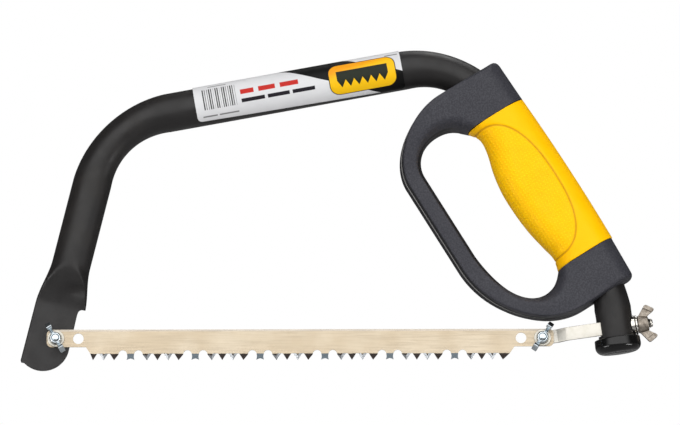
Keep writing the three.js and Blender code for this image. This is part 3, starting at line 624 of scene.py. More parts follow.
def half_profile(width, form, inset=0.0, steps=12, flat_steps=1):
    """(reach, depth) pairs of one half of a rib, from its outer to its inner parting edge."""
    depth, out_r, out_n, in_r, in_n, draft, ledge = form
    depth -= inset
    width -= 2 * inset
    shrink = min(1.0, 0.98 * width / (out_r + in_r + 2 * draft * depth))

    def quarter(radius, squareness):
        for i in range(steps + 1):
            angle = math.pi / 2 * i / steps
            y = depth * math.sin(angle) ** (2 / squareness)
            reach = radius * (1 - max(math.cos(angle), 0.0) ** (2 / squareness)) + draft * y
            yield reach * shrink, y

    chamfer = PARTING_CHAMFER
    clear = GAP / 2 + chamfer + 0.25
    start = [(reach, y) for reach, y in quarter(out_r, out_n) if y > clear]
    foot = out_r * (1 - (1 - (LEDGE_DEPTH / depth) ** out_n) ** (1 / out_n)) + draft * LEDGE_DEPTH
    foot *= shrink
    past_ledge = LEDGE_DEPTH + 1.5 * LEDGE_RISE
    below = [(reach, y) for reach, y in start if y < LEDGE_DEPTH]
    above = [(reach + ledge, max(y, past_ledge)) for reach, y in start if y >= LEDGE_DEPTH]
    start = below + [(foot, LEDGE_DEPTH), (foot + ledge, LEDGE_DEPTH + LEDGE_RISE)] + above
    end = [(width - reach, y) for reach, y in quarter(in_r, in_n) if y > clear]
    a, b = start[-1], end[-1]
    flat = [(mix(a[0], b[0], i / flat_steps), depth) for i in range(1, flat_steps)]
    head = [(chamfer, GAP / 2), (0, GAP / 2 + chamfer)]
    tail = [(width, GAP / 2 + chamfer), (width - chamfer, GAP / 2)]
    pairs = head + start + flat + end[::-1] + tail
    return [(reach + inset, y) for reach, y in pairs]


def rib(outer, inner, form, side, inset=0.0):
    """Half a rib on one side of the parting plane."""
    across = inner - outer
    width = across.length
    across.normalize()
    ring = []
    for reach, y in half_profile(width, form, inset):
        place = outer + reach * across
        ring.append(on_handle(place.x, place.y, side * y))
    return ring


def stretch_ribs(stretch, side, inset=0.0, step=1.6, closed=False):
    outer, inner, start, end = stretch
    length = max((outer(1) - outer(0)).length, (inner(1) - inner(0)).length)
    parts = max(3, math.ceil(length / step))
    ribs = []
    for i in range(parts + 1 if closed else parts):
        t = i / parts
        form = [mix(a, b, smoothstep(t, 0, 1)) for a, b in zip(start, end)]
        ribs.append(rib(outer(t), inner(t), form, side, inset))
    return ribs


def handle_screw_place(index):
    place = on_handle(*HANDLE_SCREWS[index])
    return at(place.x, 0, place.z) @ facing_far


def handle_half(name, side):
    """One moulded half of the D handle; side is -1 for the near half, 1 for the far half."""
    ribs = []
    for stretch in UPPER_STRETCHES:
        ribs += stretch_ribs(stretch, side, closed=stretch is UPPER_STRETCHES[-1])
    ribs += stretch_ribs(GRIP_STRETCH, side, PAD_THICK + GAP, closed=True)
    for stretch in LOWER_STRETCHES:
        ribs += stretch_ribs(stretch, side)
    half = skin(name, ribs, loop=True, crease=40)
    tools = [grip_bore()]
    for index in range(len(HANDLE_SCREWS)):
        place = handle_screw_place(index)
        if side > 0:
            tools.append(bar(SCREW_HOLE_R, -1, FAR, place, 32))
            tools.append(bar(HEAD_POCKET_R, HEAD_SEAT, FAR, place, 32))
        else:
            tools.append(bar(SCREW_HOLE_R, -BLIND_HOLE, 1, place, 32))
    return cut(half, *tools, crease=40, folded=True)


# The raised panel on each pad, an egg-shaped arch that is open towards the fingers.
PANEL_CENTRE = Vector((91, -16))
PANEL_REACH_UP = 47.0
PANEL_REACH_DOWN = 43.0
PANEL_RISE = 24.6
PANEL_SQUARENESS = 2.4
GROOVE_DEPTH = 0.55
GROOVE_HALF = 0.55
PANEL_SINK = 0.12
DOT_PITCH = 1.9


def panel_distance(u, v):
    """Distance from the panel's outline in millimetres, negative inside it."""
    reach = PANEL_REACH_UP if u < PANEL_CENTRE.x else PANEL_REACH_DOWN
    along = abs(u - PANEL_CENTRE.x) / reach
    rise = max(v - PANEL_CENTRE.y, 0.0) / PANEL_RISE
    size = (along ** PANEL_SQUARENESS + rise ** PANEL_SQUARENESS) ** (1 / PANEL_SQUARENESS)
    size = max(size, 1e-6)
    slope_along = (along / size) ** (PANEL_SQUARENESS - 1) / reach
    slope_rise = (rise / size) ** (PANEL_SQUARENESS - 1) / PANEL_RISE
    return (size - 1) / math.hypot(slope_along, slope_rise)


def pad_sink(u, v):
    """How far the pad's skin is pressed in at (u, v)."""
    distance = panel_distance(u, v)
    groove = GROOVE_DEPTH * math.exp(-(distance / GROOVE_HALF) ** 2)
    return groove + PANEL_SINK * smoothstep(-distance, 0, 1)


def grip_pad(name, side):
    """Soft shell over one side of the grip, its outer skin sunk along the panel's groove."""
    start, end = PAD_TOP + GAP, PAD_BOTTOM - GAP
    soft = 0.35
    rows = [start, start + 0.1, start + soft]
    parts = 200
    rows += [mix(start + soft, end - soft, i / parts) for i in range(1, parts)]
    rows += [end - soft, end - 0.1, end]
    fine = {"steps": 26, "flat_steps": 26}
    rings = []
    marks = []
    for u in rows:
        outer, inner = edge_at(palm_edge, u), edge_at(finger_edge, u)
        edge = min(u - start, end - u, soft)
        inset = soft - math.sqrt(soft ** 2 - (soft - edge) ** 2)
        across = (inner - outer).normalized()
        width = (inner - outer).length
        skin_line = half_profile(width, GRIP, inset, **fine)
        lining = half_profile(width, GRIP, PAD_THICK, steps=8)
        ring = []
        for i, (reach, y) in enumerate(skin_line):
            place = outer + reach * across
            before = Vector(skin_line[max(i - 1, 0)])
            after = Vector(skin_line[min(i + 1, len(skin_line) - 1)])
            inward = Vector((before.y - after.y, after.x - before.x)).normalized()
            sink = pad_sink(place.x, place.y)
            place += -sink * inward.x * across
            ring.append(on_handle(place.x, place.y, side * (y - sink * inward.y)))
            marks.append(min(panel_distance(place.x, place.y), 5.0))
        for reach, y in reversed(lining):
            place = outer + reach * across
            ring.append(on_handle(place.x, place.y, side * y))
            marks.append(5.0)
        rings.append(ring)
    pad = skin(name, rings)
    store_marks(pad, rings, marks)
    return pad


def edge_at(edge, u):
    """Point of a grip edge at u, found by halving."""
    low, high = 0.0, 1.0
    for _ in range(24):
        middle = (low + high) / 2
        if edge(middle).x < u:
            low = middle
        else:
            high = middle
    return edge((low + high) / 2)


def store_marks(piece, rings, marks):
    """Keeps a number for each point of the rings as the attribute 'past_panel' of the mesh."""
    points = [point for ring in rings for point in ring]
    by_place = {tuple(round(c, 3) for c in point): mark for point, mark in zip(points, marks)}
    layer = piece.data.attributes.new("past_panel", "FLOAT", "POINT")
    for vertex, value in zip(piece.data.vertices, layer.data):
        value.value = by_place.get(tuple(round(c, 3) for c in vertex.co), 5.0)


def handle_screw(index):
    """Self-tapping pan-head screw with a cross recess, driven from the far side."""
    seat = HEAD_SEAT + GAP
    rings = [circle(1e-6, -6), circle(0.5, -6), *thread_rings(1.6, 1.2, 0.35, -5.2, seat - 0.6)]
    rings += [circle(1.6, seat), circle(2.9, seat)]
    rings += [circle(r, h) for r, h in dome(2.9, seat + 0.6, 1.35)]
    screw = skin(f"housing_screw_{index + 1}", rings)
    arms = [
        box("recess", x, (-w, w), (seat + 1.0, seat + 4))
        for x, w in (((-1.6, 1.6), 0.4), ((-0.4, 0.4), 1.6))
    ]
    return moved(cut(screw, *arms), handle_screw_place(index))


# ------------------------------------------------------------------ turned and threaded pieces
def dome(radius, start, rise, steps=8):
    """Profile of a flattened dome that ends on the axis."""
    turns = [math.pi / 2 * i / steps for i in range(steps + 1)]
    return [(max(radius * math.cos(t), 1e-6), start + rise * math.sin(t)) for t in turns]


def thread_rings(radius, pitch, depth, start, end):
    """Rings of a V thread that fades out at both ends."""
    def ring(height):
        fade = min(1.0, (height - start) / pitch, (end - height) / pitch)

        def reach(angle):
            wave = abs(2 * ((height / pitch - angle / (2 * math.pi)) % 1) - 1)
            return radius - depth * (1 - fade * wave)

        return turned(reach, height)

    parts = math.ceil((end - start) / pitch * 10)
    return [ring(mix(start, end, row / parts)) for row in range(parts + 1)]


def blade_screw(name, x, z, seat):
    """Slotted pan-head screw, its head behind and its end just proud of the nut."""
    head_r, head_start = 4.6, seat + GAP
    tip = -nut_seat + NUT_HUB + 0.4
    head = [(1e-6, 2.8), (3.3, 2.8), (4.2, 2.4), (head_r, 1.6), (head_r, 0), (SCREW_R - 0.35, 0)]
    rings = [circle(radius, -head_start - height) for radius, height in head]
    rings += thread_rings(SCREW_R, 0.8, 0.4, -head_start + 0.1, tip - 0.3)
    rings += [circle(SCREW_R - 0.5, tip - 0.12), circle(SCREW_R - 0.75, tip), circle(1e-6, tip)]
    screw = skin(name, rings)
    slot = box("slot", (-6, 6), (-0.6, 0.6), (-head_start - 5, -head_start - 1.6))
    return moved(cut(screw, slot), at(x, 0, z) @ facing_near)


def washer(name, outer, inner, start, thick):
    """Flat washer about Z with soft edges."""
    profile = soft_rectangle((inner, start), (outer, start + thick), 0.18, -90)
    return lathe(name, profile, 64, loop=True)


def wing_nut(name, hub_low, hub_high, hub_length, reach, bore, web, bead):
    """Cast wing nut about Z with its seat at zero: conical hub, leaning wings, thick wing ends.
    The wings are drawn for a nut that reaches 11.2 mm, and then scaled."""
    k = reach / 11.2
    hub = [(0, 0), (hub_low - 0.3, 0), (hub_low, 0.3), (hub_low, 0.9)]
    hub += [(hub_high, hub_length - 0.5), (hub_high - 0.5, hub_length), (0, hub_length)]
    parts = [lathe("hub", hub, 64)]
    low_corner = bezier((9.6, 4.3), (11.2, 5.3), (11.7, 5.9), (10.7, 7.4))
    high_corner = bezier((9.5, 9.3), (8.2, 11.3), (7.9, 11.3), (6.8, 10))
    rim = [k * corner(i / 6) for corner in (low_corner, high_corner) for i in range(7)]
    wing = [(1.5, 1.0), (hub_low - 0.3, 0.7 * k), *rim]
    wing += [(hub_high - 0.2, hub_length - 0.6), (1.5, hub_length - 0.6)]
    end = rim + [k * Vector(p) for p in ((6.3, 9.3), (7.6, 7.4), (8.9, 5.4), (9.1, 4.0))]
    for side in (1, -1):
        for outline, thick in ((wing, web), (end, bead)):
            places = [(side * x, z) for x, z in outline]
            parts.append(plate("wing", places, -thick / 2, thick / 2))
    nut = fuse(name, parts)
    return cut(nut, bar(bore, -2, hub_length + 5, at(0, 0, 0)), crease=50)


def blade_nut(name, x, z, turn):
    nut = wing_nut(name, 3.9, 3.4, NUT_HUB, 10, SCREW_R + 0.1, 2.1, 3.3)
    spin = Matrix.Rotation(math.radians(turn), 4, "Y")
    return moved(nut, at(x, nut_seat, z) @ spin @ facing_near)


def blade_washer(name, x, z):
    made = washer(name, 5.1, SCREW_R + GAP, -washer_far, WASHER_THICK)
    return moved(made, at(x, 0, z) @ facing_near)


# ------------------------------------------------------------------ blade
def blade_outlines():
    """Near and far outline of the blade, point for point; a filed flank differs between them."""
    left, right = blade_left, blade_left + BLADE_LENGTH
    corner = 3.0
    both = []

    def add(points):
        both.extend((Vector(p), Vector(p)) for p in points)

    def tooth(tip, filed_near, has_left=True, has_right=True):
        """A cutting point whose flanks are filed from one side."""
        full = [(tip - TOOTH_HALF, -TOOTH_ROOT), (tip, -TOOTH_TIP), (tip + TOOTH_HALF, -TOOTH_ROOT)]
        slim = [
            (tip - TOOTH_HALF + FACET, -TOOTH_ROOT),
            (tip, -TOOTH_TIP + 1.55 * FACET),
            (tip + TOOTH_HALF - FACET, -TOOTH_ROOT),
        ]
        near, far = (slim, full) if filed_near else (full, slim)
        pairs = list(zip(map(Vector, near), map(Vector, far)))
        both.extend(pairs[0 if has_left else 1:3 if has_right else 2])

    def teeth(first, count, filed_near):
        for i in range(count):
            tooth(first + TOOTH_PITCH * i, filed_near, i > 0, i < count - 1)
            filed_near = not filed_near

    def gullet(x):
        add(arc((x, -GULLET_TOP - GULLET_R), GULLET_R, 180, 0, 14))

    def raker(x):
        """Two-pointed raker with hollow sides and an arch between its points."""
        low = -TOOTH_TIP + 0.3
        flare = bezier(
            (x + RAKER_HALF - 0.2, -GULLET_TOP - GULLET_R), (x + RAKER_WAIST, -10.6),
            (x + RAKER_WAIST, -11.4), (x + RAKER_HALF, low),
        )
        side = [flare(i / 6) for i in range(1, 7)]
        add((2 * x - p.x, p.y) for p in side)
        add([(x - 1.0, low + 0.6), (x, low + 0.85), (x + 1.0, low + 0.6)])
        add(reversed(side))

    add(arc((left + corner, BLADE_TOP - corner), corner, 90, 180, 8))
    add(arc((left + corner, -TAB_DROP + corner), corner, 180, 270, 8))
    add([(left + TAB_LENGTH, -TAB_DROP), (left + TAB_LENGTH + 2.6, -TOOTH_ROOT)])
    first = left + FIRST_RAKER
    teeth(first - RAKER_CLEAR - 2 * TOOTH_PITCH, 3, False)
    for n in range(RAKERS):
        x = first + n * RAKER_PITCH
        gullet(x - GULLET_OFF)
        raker(x)
        gullet(x + GULLET_OFF)
        teeth(x + RAKER_CLEAR, 4, True)
    add([(right - TAB_LENGTH - 2.6, -TOOTH_ROOT), (right - TAB_LENGTH, -TAB_DROP)])
    add(arc((right - corner, -TAB_DROP + corner), corner, 270, 360, 8))
    add(arc((right - corner, BLADE_TOP - corner), corner, 0, 90, 8))
    return [pair[0] for pair in both], [pair[1] for pair in both]


def blade():
    near, far = blade_outlines()
    sides = ((near, blade_near), (far, blade_far))
    rings = [[at_depth(point, y) for point in outline] for outline, y in sides]
    made = skin("saw_blade", rings, crease=20)
    holes = [(BLADE_PLAY, BLADE_HOLE_R), (BLADE_PLAY + SPARE_HOLE, BLADE_HOLE_R)]
    holes += [(rear_screw.x - SPARE_HOLE, BLADE_HOLE_R), (rear_screw.x, SCREW_R + GAP)]
    tools = [bar(radius, -20, 20, at(x, 0, 0) @ facing_far, 32) for x, radius in holes]
    return cut(made, *tools, crease=20)


# ------------------------------------------------------------------ tensioner
def rounded_path(corners, radius, steps=8):
    """Centre line with its corners rounded, as (point, direction) pairs."""
    corners = [Vector(corner) for corner in corners]
    path = [(corners[0], (corners[1] - corners[0]).normalized())]
    for before, corner, after in zip(corners, corners[1:], corners[2:]):
        turn, _, station = bend(before, corner, after, radius)
        path += [station(turn * i / steps) for i in range(steps + 1)]
    path.append((corners[-1], (corners[-1] - corners[-2]).normalized()))
    return path


def tension_strap():
    """Flat strap: behind the blade, a joggle forward, into the tail, and a turned-up flange."""
    half_t, half_w = STRAP_THICK / 2, STRAP_WIDE / 2
    low, high = -TOE_HALF_THICK + half_t, JOGGLE_NEAR + half_t
    flange = -FLANGE - half_t
    corners = [
        (-strap_reach - STRAP_FRONT, low), (-strap_reach + JOGGLE_START, low),
        (-strap_reach + JOGGLE_END, high), (flange, high), (flange, 5.5),
    ]
    rings = []
    section = soft_rectangle((-half_t, -half_w), (half_t, half_w), 0.35, 0)
    for place, way in rounded_path(corners, 1.6):
        side = Vector((-way.y, way.x))
        rings.append([Vector((*(place + point.x * side), point.y)) for point in section])
    strap = skin("strap", rings)
    stud_hole = bar(STUD_R + GAP, -12, 2, lying_on_x)
    screw_hole = bar(SCREW_R + GAP, -15, 15, at(-strap_reach, 0, 0) @ facing_near)
    return moved(cut(strap, stud_hole, screw_hole), along_pull_line)


def tension_stud():
    """Hex-headed M6 stud, its head inside the tail and its thread out through the nut."""
    head_end = -FLANGE - STRAP_THICK - GAP
    flats = 3.6
    rings = [circle(1e-6, head_end - 3), hexagon(flats - 0.4, head_end - 3)]
    rings += [hexagon(flats, head_end - 2.7), hexagon(flats, head_end), circle(STUD_R, head_end)]
    rings += thread_rings(STUD_R, 1.0, 0.5, head_end + 0.2, STUD_TIP - 0.6)
    rings += [circle(STUD_R - 0.6, STUD_TIP - 0.3), circle(STUD_R - 1.0, STUD_TIP), circle(1e-6, STUD_TIP)]
    return moved(skin("stud", rings), on_pull_line)


def saddle_washer():
    """Round spacer hollowed to sit on the tail."""
    soft = 0.4
    profile = [(0, 6), (SADDLE_R, 6), (SADDLE_R, saddle_flat - soft)]
    profile += [(SADDLE_R - soft, saddle_flat), (0, saddle_flat)]
    body = lathe("saddle", profile, 96)
    stud_hole = bar(STUD_R + GAP, 0, 20, at(0, 0, 0))
    tail = bar(STUB_R + GAP, -30, 30, lying_on_x, 128)
    return moved(cut(body, stud_hole, tail), on_pull_line)


def tension_washer():
    made = washer("pull_washer", 5.8, STUD_R + GAP, tension_washer_start, WASHER_THICK)
    return moved(made, on_pull_line)


def tension_nut():
    nut = wing_nut("pull_nut", 5.2, 4.4, 6.6, 11.2, STUD_R + 0.1, 2.4, 3.4)
    return moved(nut, on_pull_line @ at(0, 0, tension_nut_seat))


# ------------------------------------------------------------------ materials
class Field:
    """A number or vector at every point of a surface, worked out by a tree of nodes."""

    def __init__(self, tree, socket):
        self.tree = tree
        self.socket = socket

    def math(self, operation, *others):
        return new_field(self.tree, "Math", "Value", enumerate((self, *others)), operation=operation)

    def __add__(self, other):
        return self.math("ADD", other)

    def __sub__(self, other):
        return self.math("SUBTRACT", other)

    def __mul__(self, other):
        return self.math("MULTIPLY", other)

    def __truediv__(self, other):
        return self.math("DIVIDE", other)

    def ramp(self, low, high, start=0.0, end=1.0):
        """Goes smoothly from start to end while the field goes from low to high."""
        values = {"Value": self, "From Min": low, "From Max": high, "To Min": start, "To Max": end}
        return new_field(self.tree, "MapRange", "Result", values, interpolation_type="SMOOTHSTEP")


def new_field(tree, kind, output, values=(), **settings):
    """An output of a new node, whose inputs are linked to other fields or set to plain values."""
    node = tree.nodes.new("ShaderNode" + kind)
    for name, setting in settings.items():
        setattr(node, name, setting)
    for slot, value in dict(values).items():
        if isinstance(value, Field):
            tree.links.new(value.socket, node.inputs[slot])
        else:
            node.inputs[slot].default_value = value
    return Field(tree, node.outputs[output])


class Finish:
    """A material in the making: its shader, and the fields that it varies by."""

    def __init__(self, name, color, roughness, metallic=0.0, **sockets):
        self.material = bpy.data.materials.new(name)
        self.material.use_nodes = True
        self.tree = self.material.node_tree
        self.inputs = self.tree.nodes["Principled BSDF"].inputs
        self.inputs["Base Color"].default_value = (*color, 1)
        self.inputs["Roughness"].default_value = roughness
        self.inputs["Metallic"].default_value = metallic
        for socket, value in sockets.items():
            label = socket.replace("_", " ").title().replace("Ior", "IOR")
            self.inputs[label].default_value = value
        self.place = self.field("TexCoord", "Object")

    def field(self, kind, output, values=(), **settings):
        return new_field(self.tree, kind, output, values, **settings)

    def noise(self, size, detail=2.0, stretch=(1, 1, 1)):
        """Cloudy field from 0 to 1 with features about `size` millimetres across."""
        spot = self.field("Mapping", "Vector", {"Vector": self.place, "Scale": stretch})
        values = {"Vector": spot, "Scale": 1 / (size * MM), "Detail": detail}
        return self.field("TexNoise", "Fac", values)

    def axis(self, direction, origin=(0, 0, 0)):
        """Millimetres along a direction from a point of the frame."""
        values = {0: self.place, 1: direction}
        along = self.field("VectorMath", "Value", values, operation="DOT_PRODUCT")
        return (along - Vector(direction).dot(Vector(origin))) / MM

    def uv(self, layer):
        place = self.field("UVMap", "UV", uv_map=layer)
        return [self.field("SeparateXYZ", axis, {"Vector": place}) for axis in ("X", "Y")]

    def mark(self, name):
        return self.field("Attribute", "Fac", attribute_name=name)

    def so_far(self, label):
        """What a shader input has now: the field that is linked to it, or its plain value."""
        slot = self.inputs[label]
        return Field(self.tree, slot.links[0].from_socket) if slot.links else slot.default_value

    def use(self, label, field):
        self.tree.links.new(field.socket, self.inputs[label])

    def tint(self, share, color):
        """Goes from the colour so far to another one where share is 1."""
        values = {"Factor": share, "A": self.so_far("Base Color"), "B": (*color, 1)}
        self.use("Base Color", self.field("Mix", "Result", values, data_type="RGBA"))

    def rough(self, field):
        self.use("Roughness", field)

    def bump(self, height, depth):
        """Relief of `depth` millimetres where height goes from 0 to 1."""
        values = {"Height": height, "Distance": depth * MM, "Normal": self.so_far("Normal")}
        self.use("Normal", self.field("Bump", "Normal", values))


def black_coat():
    """Satin powder coat on the tube, with orange peel and a little dust."""
    finish = Finish("black_coat", (0.0125, 0.0115, 0.0115), 0.42, specular_ior_level=0.3)
    finish.tint(finish.noise(22, 4).ramp(0.42, 0.75, 0, 0.5), (0.02, 0.0175, 0.0155))
    finish.rough(finish.noise(9, 4).ramp(0.3, 0.7, 0.36, 0.5))
    finish.bump(finish.noise(1.6, 2), 0.012)
    finish.bump(finish.noise(0.35, 2), 0.006)
    return finish.material


def black_vinyl():
    finish = Finish("black_vinyl", (0.004, 0.004, 0.004), 0.1, specular_ior_level=0.32)
    finish.rough(finish.noise(5, 3).ramp(0.3, 0.7, 0.06, 0.15))
    finish.bump(finish.noise(6, 2), 0.08)
    return finish.material


def black_plastic():
    """Moulded handle: spark-eroded faces; on the guard, painted shade darkens the side walls and a painted
    highlight makes a pale line along the ledge.
    """
    finish = Finish("black_plastic", (0.029, 0.029, 0.036), 0.5, specular_ior_level=0.2)
    finish.tint(finish.noise(0.9, 3).ramp(0.35, 0.7), (0.046, 0.046, 0.055))
    from_parting = finish.axis((0, 1, 0)).math("ABSOLUTE")
    outwards = finish.axis((grip_out.x, 0, grip_out.y), front_screw) - rear_corner.dot(grip_out)
    on_guard = outwards.ramp(-22, -34)
    # Painted shade: the guard's side walls, away from its front face, are darkened.
    finish.tint(from_parting.ramp(9.7, 9.0) * on_guard, (0.009, 0.009, 0.011))
    # Painted highlight: a pale line along the ledge of the guard's outer walls.
    ledge = inside(from_parting, LEDGE_DEPTH, LEDGE_DEPTH + LEDGE_RISE, 0.05)
    finish.tint(ledge * on_guard, (0.2, 0.195, 0.19))
    finish.rough(finish.noise(14, 3).ramp(0.3, 0.7, 0.44, 0.56))
    finish.bump(finish.noise(0.45, 3), 0.018)
    return finish.material


def yellow_rubber():
    """Soft rubber: a brown painted shade in the panel's groove, and small dots inside the panel."""
    finish = Finish("yellow_rubber", (0.95, 0.51, 0.0), 0.5, specular_ior_level=0.1)
    finish.tint(finish.noise(16, 3).ramp(0.4, 0.75, 0, 0.4), (0.95, 0.45, 0.0))
    finish.rough(finish.noise(10, 3).ramp(0.3, 0.7, 0.4, 0.55))
    finish.bump(finish.noise(0.5, 2), 0.008)
    past_panel = finish.mark("past_panel")
    along = finish.axis((grip_down.x, 0, grip_down.y), front_screw)
    across = finish.axis((grip_out.x, 0, grip_out.y), front_screw)
    one = ((along + across) * (math.pi / DOT_PITCH)).math("SINE")
    other = ((along - across) * (math.pi / DOT_PITCH)).math("SINE")
    dots = (one * other).ramp(0.1, 0.8) * past_panel.ramp(-0.9, -1.7)
    finish.bump(dots, 0.14)
    finish.tint(dots * 0.45, (1.0, 0.66, 0.01))
    # Painted shade: the panel's groove is darkened to brown.
    finish.tint(past_panel.math("ABSOLUTE").ramp(0.9, 0.25, 0, 0.75), (0.5, 0.24, 0.005))
    return finish.material


def blade_steel():
    """Rolled strip with a warm lacquer: fine lines along it, dark hardened teeth."""
    finish = Finish("blade_steel", (0.42, 0.345, 0.245), 0.36, 0.7)
    lines = finish.noise(0.5, 3, (0.03, 1, 1))
    finish.tint(finish.noise(25, 3).ramp(0.35, 0.7), (0.47, 0.4, 0.3))
    finish.tint(lines.ramp(0.4, 0.7, 0, 0.25), (0.35, 0.29, 0.21))
    height = finish.axis((0, 0, 1), front_screw)
    finish.tint(height.ramp(BLADE_TOP - 1.3, BLADE_TOP - 0.9, 0, 0.5), (0.4, 0.38, 0.36))
    first = front_screw + Vector(((blade_left + FIRST_RAKER) * MM, 0, 0))
    along = finish.axis((1, 0, 0), first) / RAKER_PITCH + 0.5
    from_raker = (along.math("FRACT") - 0.5).math("ABSOLUTE") * RAKER_PITCH
    hard = (height + finish.noise(1.2, 2) * 0.6).ramp(-8.6, -9.1)
    finish.tint(hard, (0.016, 0.011, 0.009))
    finish.tint(hard * from_raker.ramp(3.4, 3.0), (0.085, 0.105, 0.12))
    finish.rough(lines.ramp(0.3, 0.7, 0.3, 0.44))
    finish.bump(lines, 0.004)
    return finish.material


def filed_steel():
    """Bare ground steel of the filed flanks and the blade's edges."""
    finish = Finish("filed_steel", (0.25, 0.26, 0.27), 0.4, 0.8)
    marks = finish.noise(0.25, 2, (1, 0.15, 1))
    finish.rough(marks.ramp(0.3, 0.7, 0.28, 0.46))
    finish.bump(marks, 0.01)
    return finish.material


def plated(name, color, roughness, mottled, metallic=1.0):
    """Bright plating over a slightly uneven ground."""
    finish = Finish(name, color, roughness, metallic)
    finish.tint(finish.noise(3.5, 2).ramp(0.4, 0.7), mottled)
    finish.rough(finish.noise(4, 2).ramp(0.3, 0.7, roughness * 0.85, roughness * 1.15))
    finish.bump(finish.noise(5, 1), 0.006)
    return finish.material


def cast_zinc():
    finish = Finish("cast_zinc", (0.29, 0.255, 0.215), 0.42, 0.9)
    finish.tint(finish.noise(2.2, 4).ramp(0.4, 0.7), (0.17, 0.145, 0.12))
    finish.rough(finish.noise(0.8, 3).ramp(0.3, 0.7, 0.32, 0.55))
    finish.bump(finish.noise(0.5, 3), 0.02)
    return finish.material


def inside(value, low, high, soft=0.12):
    """1 while the field is between two values, with a soft edge."""
    return value.ramp(low - soft, low + soft) * value.ramp(high + soft, high - soft)


BADGE = Vector((102.5, -0.1))
BADGE_HALF = Vector((20.6, 10.2))
BADGE_CORNER = 6.5

# Plain bars where a maker would put words, as rows: colour, low and high edge, and each bar's start
# and end, in the print's millimetres.
RED = (0.46, 0.02, 0.014)
DARK = (0.012, 0.01, 0.014)
GREY = (0.18, 0.18, 0.18)
BAR_ROWS = (
    (RED, 1.5, 4.6, ((28.1, 36.3), (39.2, 49.4), (52.4, 63.6))),
    (DARK, -3.6, -1.3, ((28.1, 42.4), (44.2, 57.6), (59.4, 73.1))),
    (GREY, 11.2, 12.0, ((9.0, 20.2),)),
    (GREY, -9.2, -8.2, ((3.6, 12.4), (13.6, 25.6))),
    (GREY, 10.2, 11.3, ((117.6, 125.4),)),
)


def label_print():
    """Printed film: a white ground, black sweeps, a yellow badge with saw teeth, and plain bars."""
    finish = Finish("label_print", (0.62, 0.62, 0.63), 0.4, specular_ior_level=0.12)
    ink = (0.004, 0.004, 0.004)
    along, up = finish.uv("print")
    finish.tint(finish.noise(12, 3).ramp(0.4, 0.75, 0, 0.5), (0.56, 0.56, 0.58))

    # The black sweeps lie between straight lines and a parabola, in the print's millimetres.
    to_badge = along * -1 + 81.0
    sweep_low = to_badge * 0.4 + to_badge * to_badge * 0.0056 + 0.4
    sweep_end = up * -1.39 + 114.1
    upper = (up - sweep_low).ramp(-0.12, 0.12) * (sweep_end - along).ramp(-0.12, 0.12)
    finish.tint(upper, ink)
    lower = (up + along * 0.58 - 50.4).ramp(-0.12, 0.12) * (up + along * 0.49 - 60.2).ramp(0.12, -0.12)
    finish.tint(lower * along.ramp(102, 103), ink)

    for color, low, high, bars in BAR_ROWS:
        for start, end in bars:
            finish.tint(inside(along, start, end) * inside(up, low, high), color)
    fine, coarse = ((along * (2 * math.pi / pitch)).math("SINE") for pitch in (1.3, 4.3))
    ticks = (fine + coarse * 0.7).ramp(0.1, 0.4)
    finish.tint(ticks * inside(along, 4.8, 25.2) * inside(up, -4.4, 9.4), (0.05, 0.05, 0.05))

    x, y = along - BADGE.x, up - BADGE.y
    past_x = (x.math("ABSOLUTE") - (BADGE_HALF.x - BADGE_CORNER)).math("MAXIMUM", 0.0)
    past_y = (y.math("ABSOLUTE") - (BADGE_HALF.y - BADGE_CORNER)).math("MAXIMUM", 0.0)
    rim = (past_x * past_x + past_y * past_y).math("SQRT") - BADGE_CORNER
    finish.tint(rim.ramp(0.12, -0.12), ink)
    finish.tint(rim.ramp(-0.4, -0.64), (0.8, 0.46, 0.006))
    finish.tint(rim.ramp(-0.4, -0.64) * (y - x * 0.2).ramp(3, 9, 0, 0.8), (0.78, 0.27, 0.01))
    teeth = ((x / 5.2).math("FRACT") - 0.5).math("ABSOLUTE") * 9.0 - 5.4
    blade_sign = (y - teeth).ramp(-0.12, 0.12) * y.ramp(4.9, 4.66) * inside(x, -15.6, 15.6)
    finish.tint(blade_sign, (0.016, 0.02, 0.012))
    return finish.material


# ------------------------------------------------------------------ studio
FRONT_GLOW = 2.4
REAR_GLOW = 0.07
FLOOR_HEIGHT = -0.6
FLOOR_GLOW = 0.45               # keeps the paper pale without lighting the saw from below


def camera_rays(tree):
    return new_field(tree, "LightPath", "Is Camera Ray")


def studio():
    floor = box("floor", (-6, 6), (-6, 6), (FLOOR_HEIGHT - 0.02, FLOOR_HEIGHT))
    pale = Finish("floor_paper", (0.66, 0.66, 0.66), 0.9, emission_color=(1, 1, 1, 1))
    pale.bump(pale.noise(4, 2), 0.05)
    pale.use("Emission Strength", camera_rays(pale.tree) * FLOOR_GLOW)
    floor.data.materials.append(pale.material)

    # The camera sees plain white; the saw sees a broad bright front and dark surroundings.
    world = bpy.data.worlds.new("studio")
    bpy.context.scene.world = world
    world.use_nodes = True
    tree = world.node_tree
    sky = tree.nodes["Background"]
    sky.inputs["Color"].default_value = (1, 1, 1, 1)
    direction = new_field(tree, "TexCoord", "Generated")
    behind = new_field(tree, "SeparateXYZ", "Y", {"Vector": direction})
    glow = behind.ramp(-math.cos(math.radians(36)), -math.cos(math.radians(68)), FRONT_GLOW, REAR_GLOW)
    strength = glow + camera_rays(tree) * (glow * -1 + 1)
    tree.links.new(strength.socket, sky.inputs["Strength"])

    middle = (cad_low + cad_high) / 2
    softbox("top_light", middle, (0.1, -0.6, 1.2), (1.2, 0.3), 3)
    softbox("low_left_light", middle, (-0.75, -0.45, -0.42), (0.5, 0.12), 2.2)
    softbox("low_right_light", middle, (0.95, -0.45, -0.42), (0.5, 0.12), 2.2)
    softbox("back_light", middle, (0.3, 0.5, 1.3), (0.9, 0.6), 5)


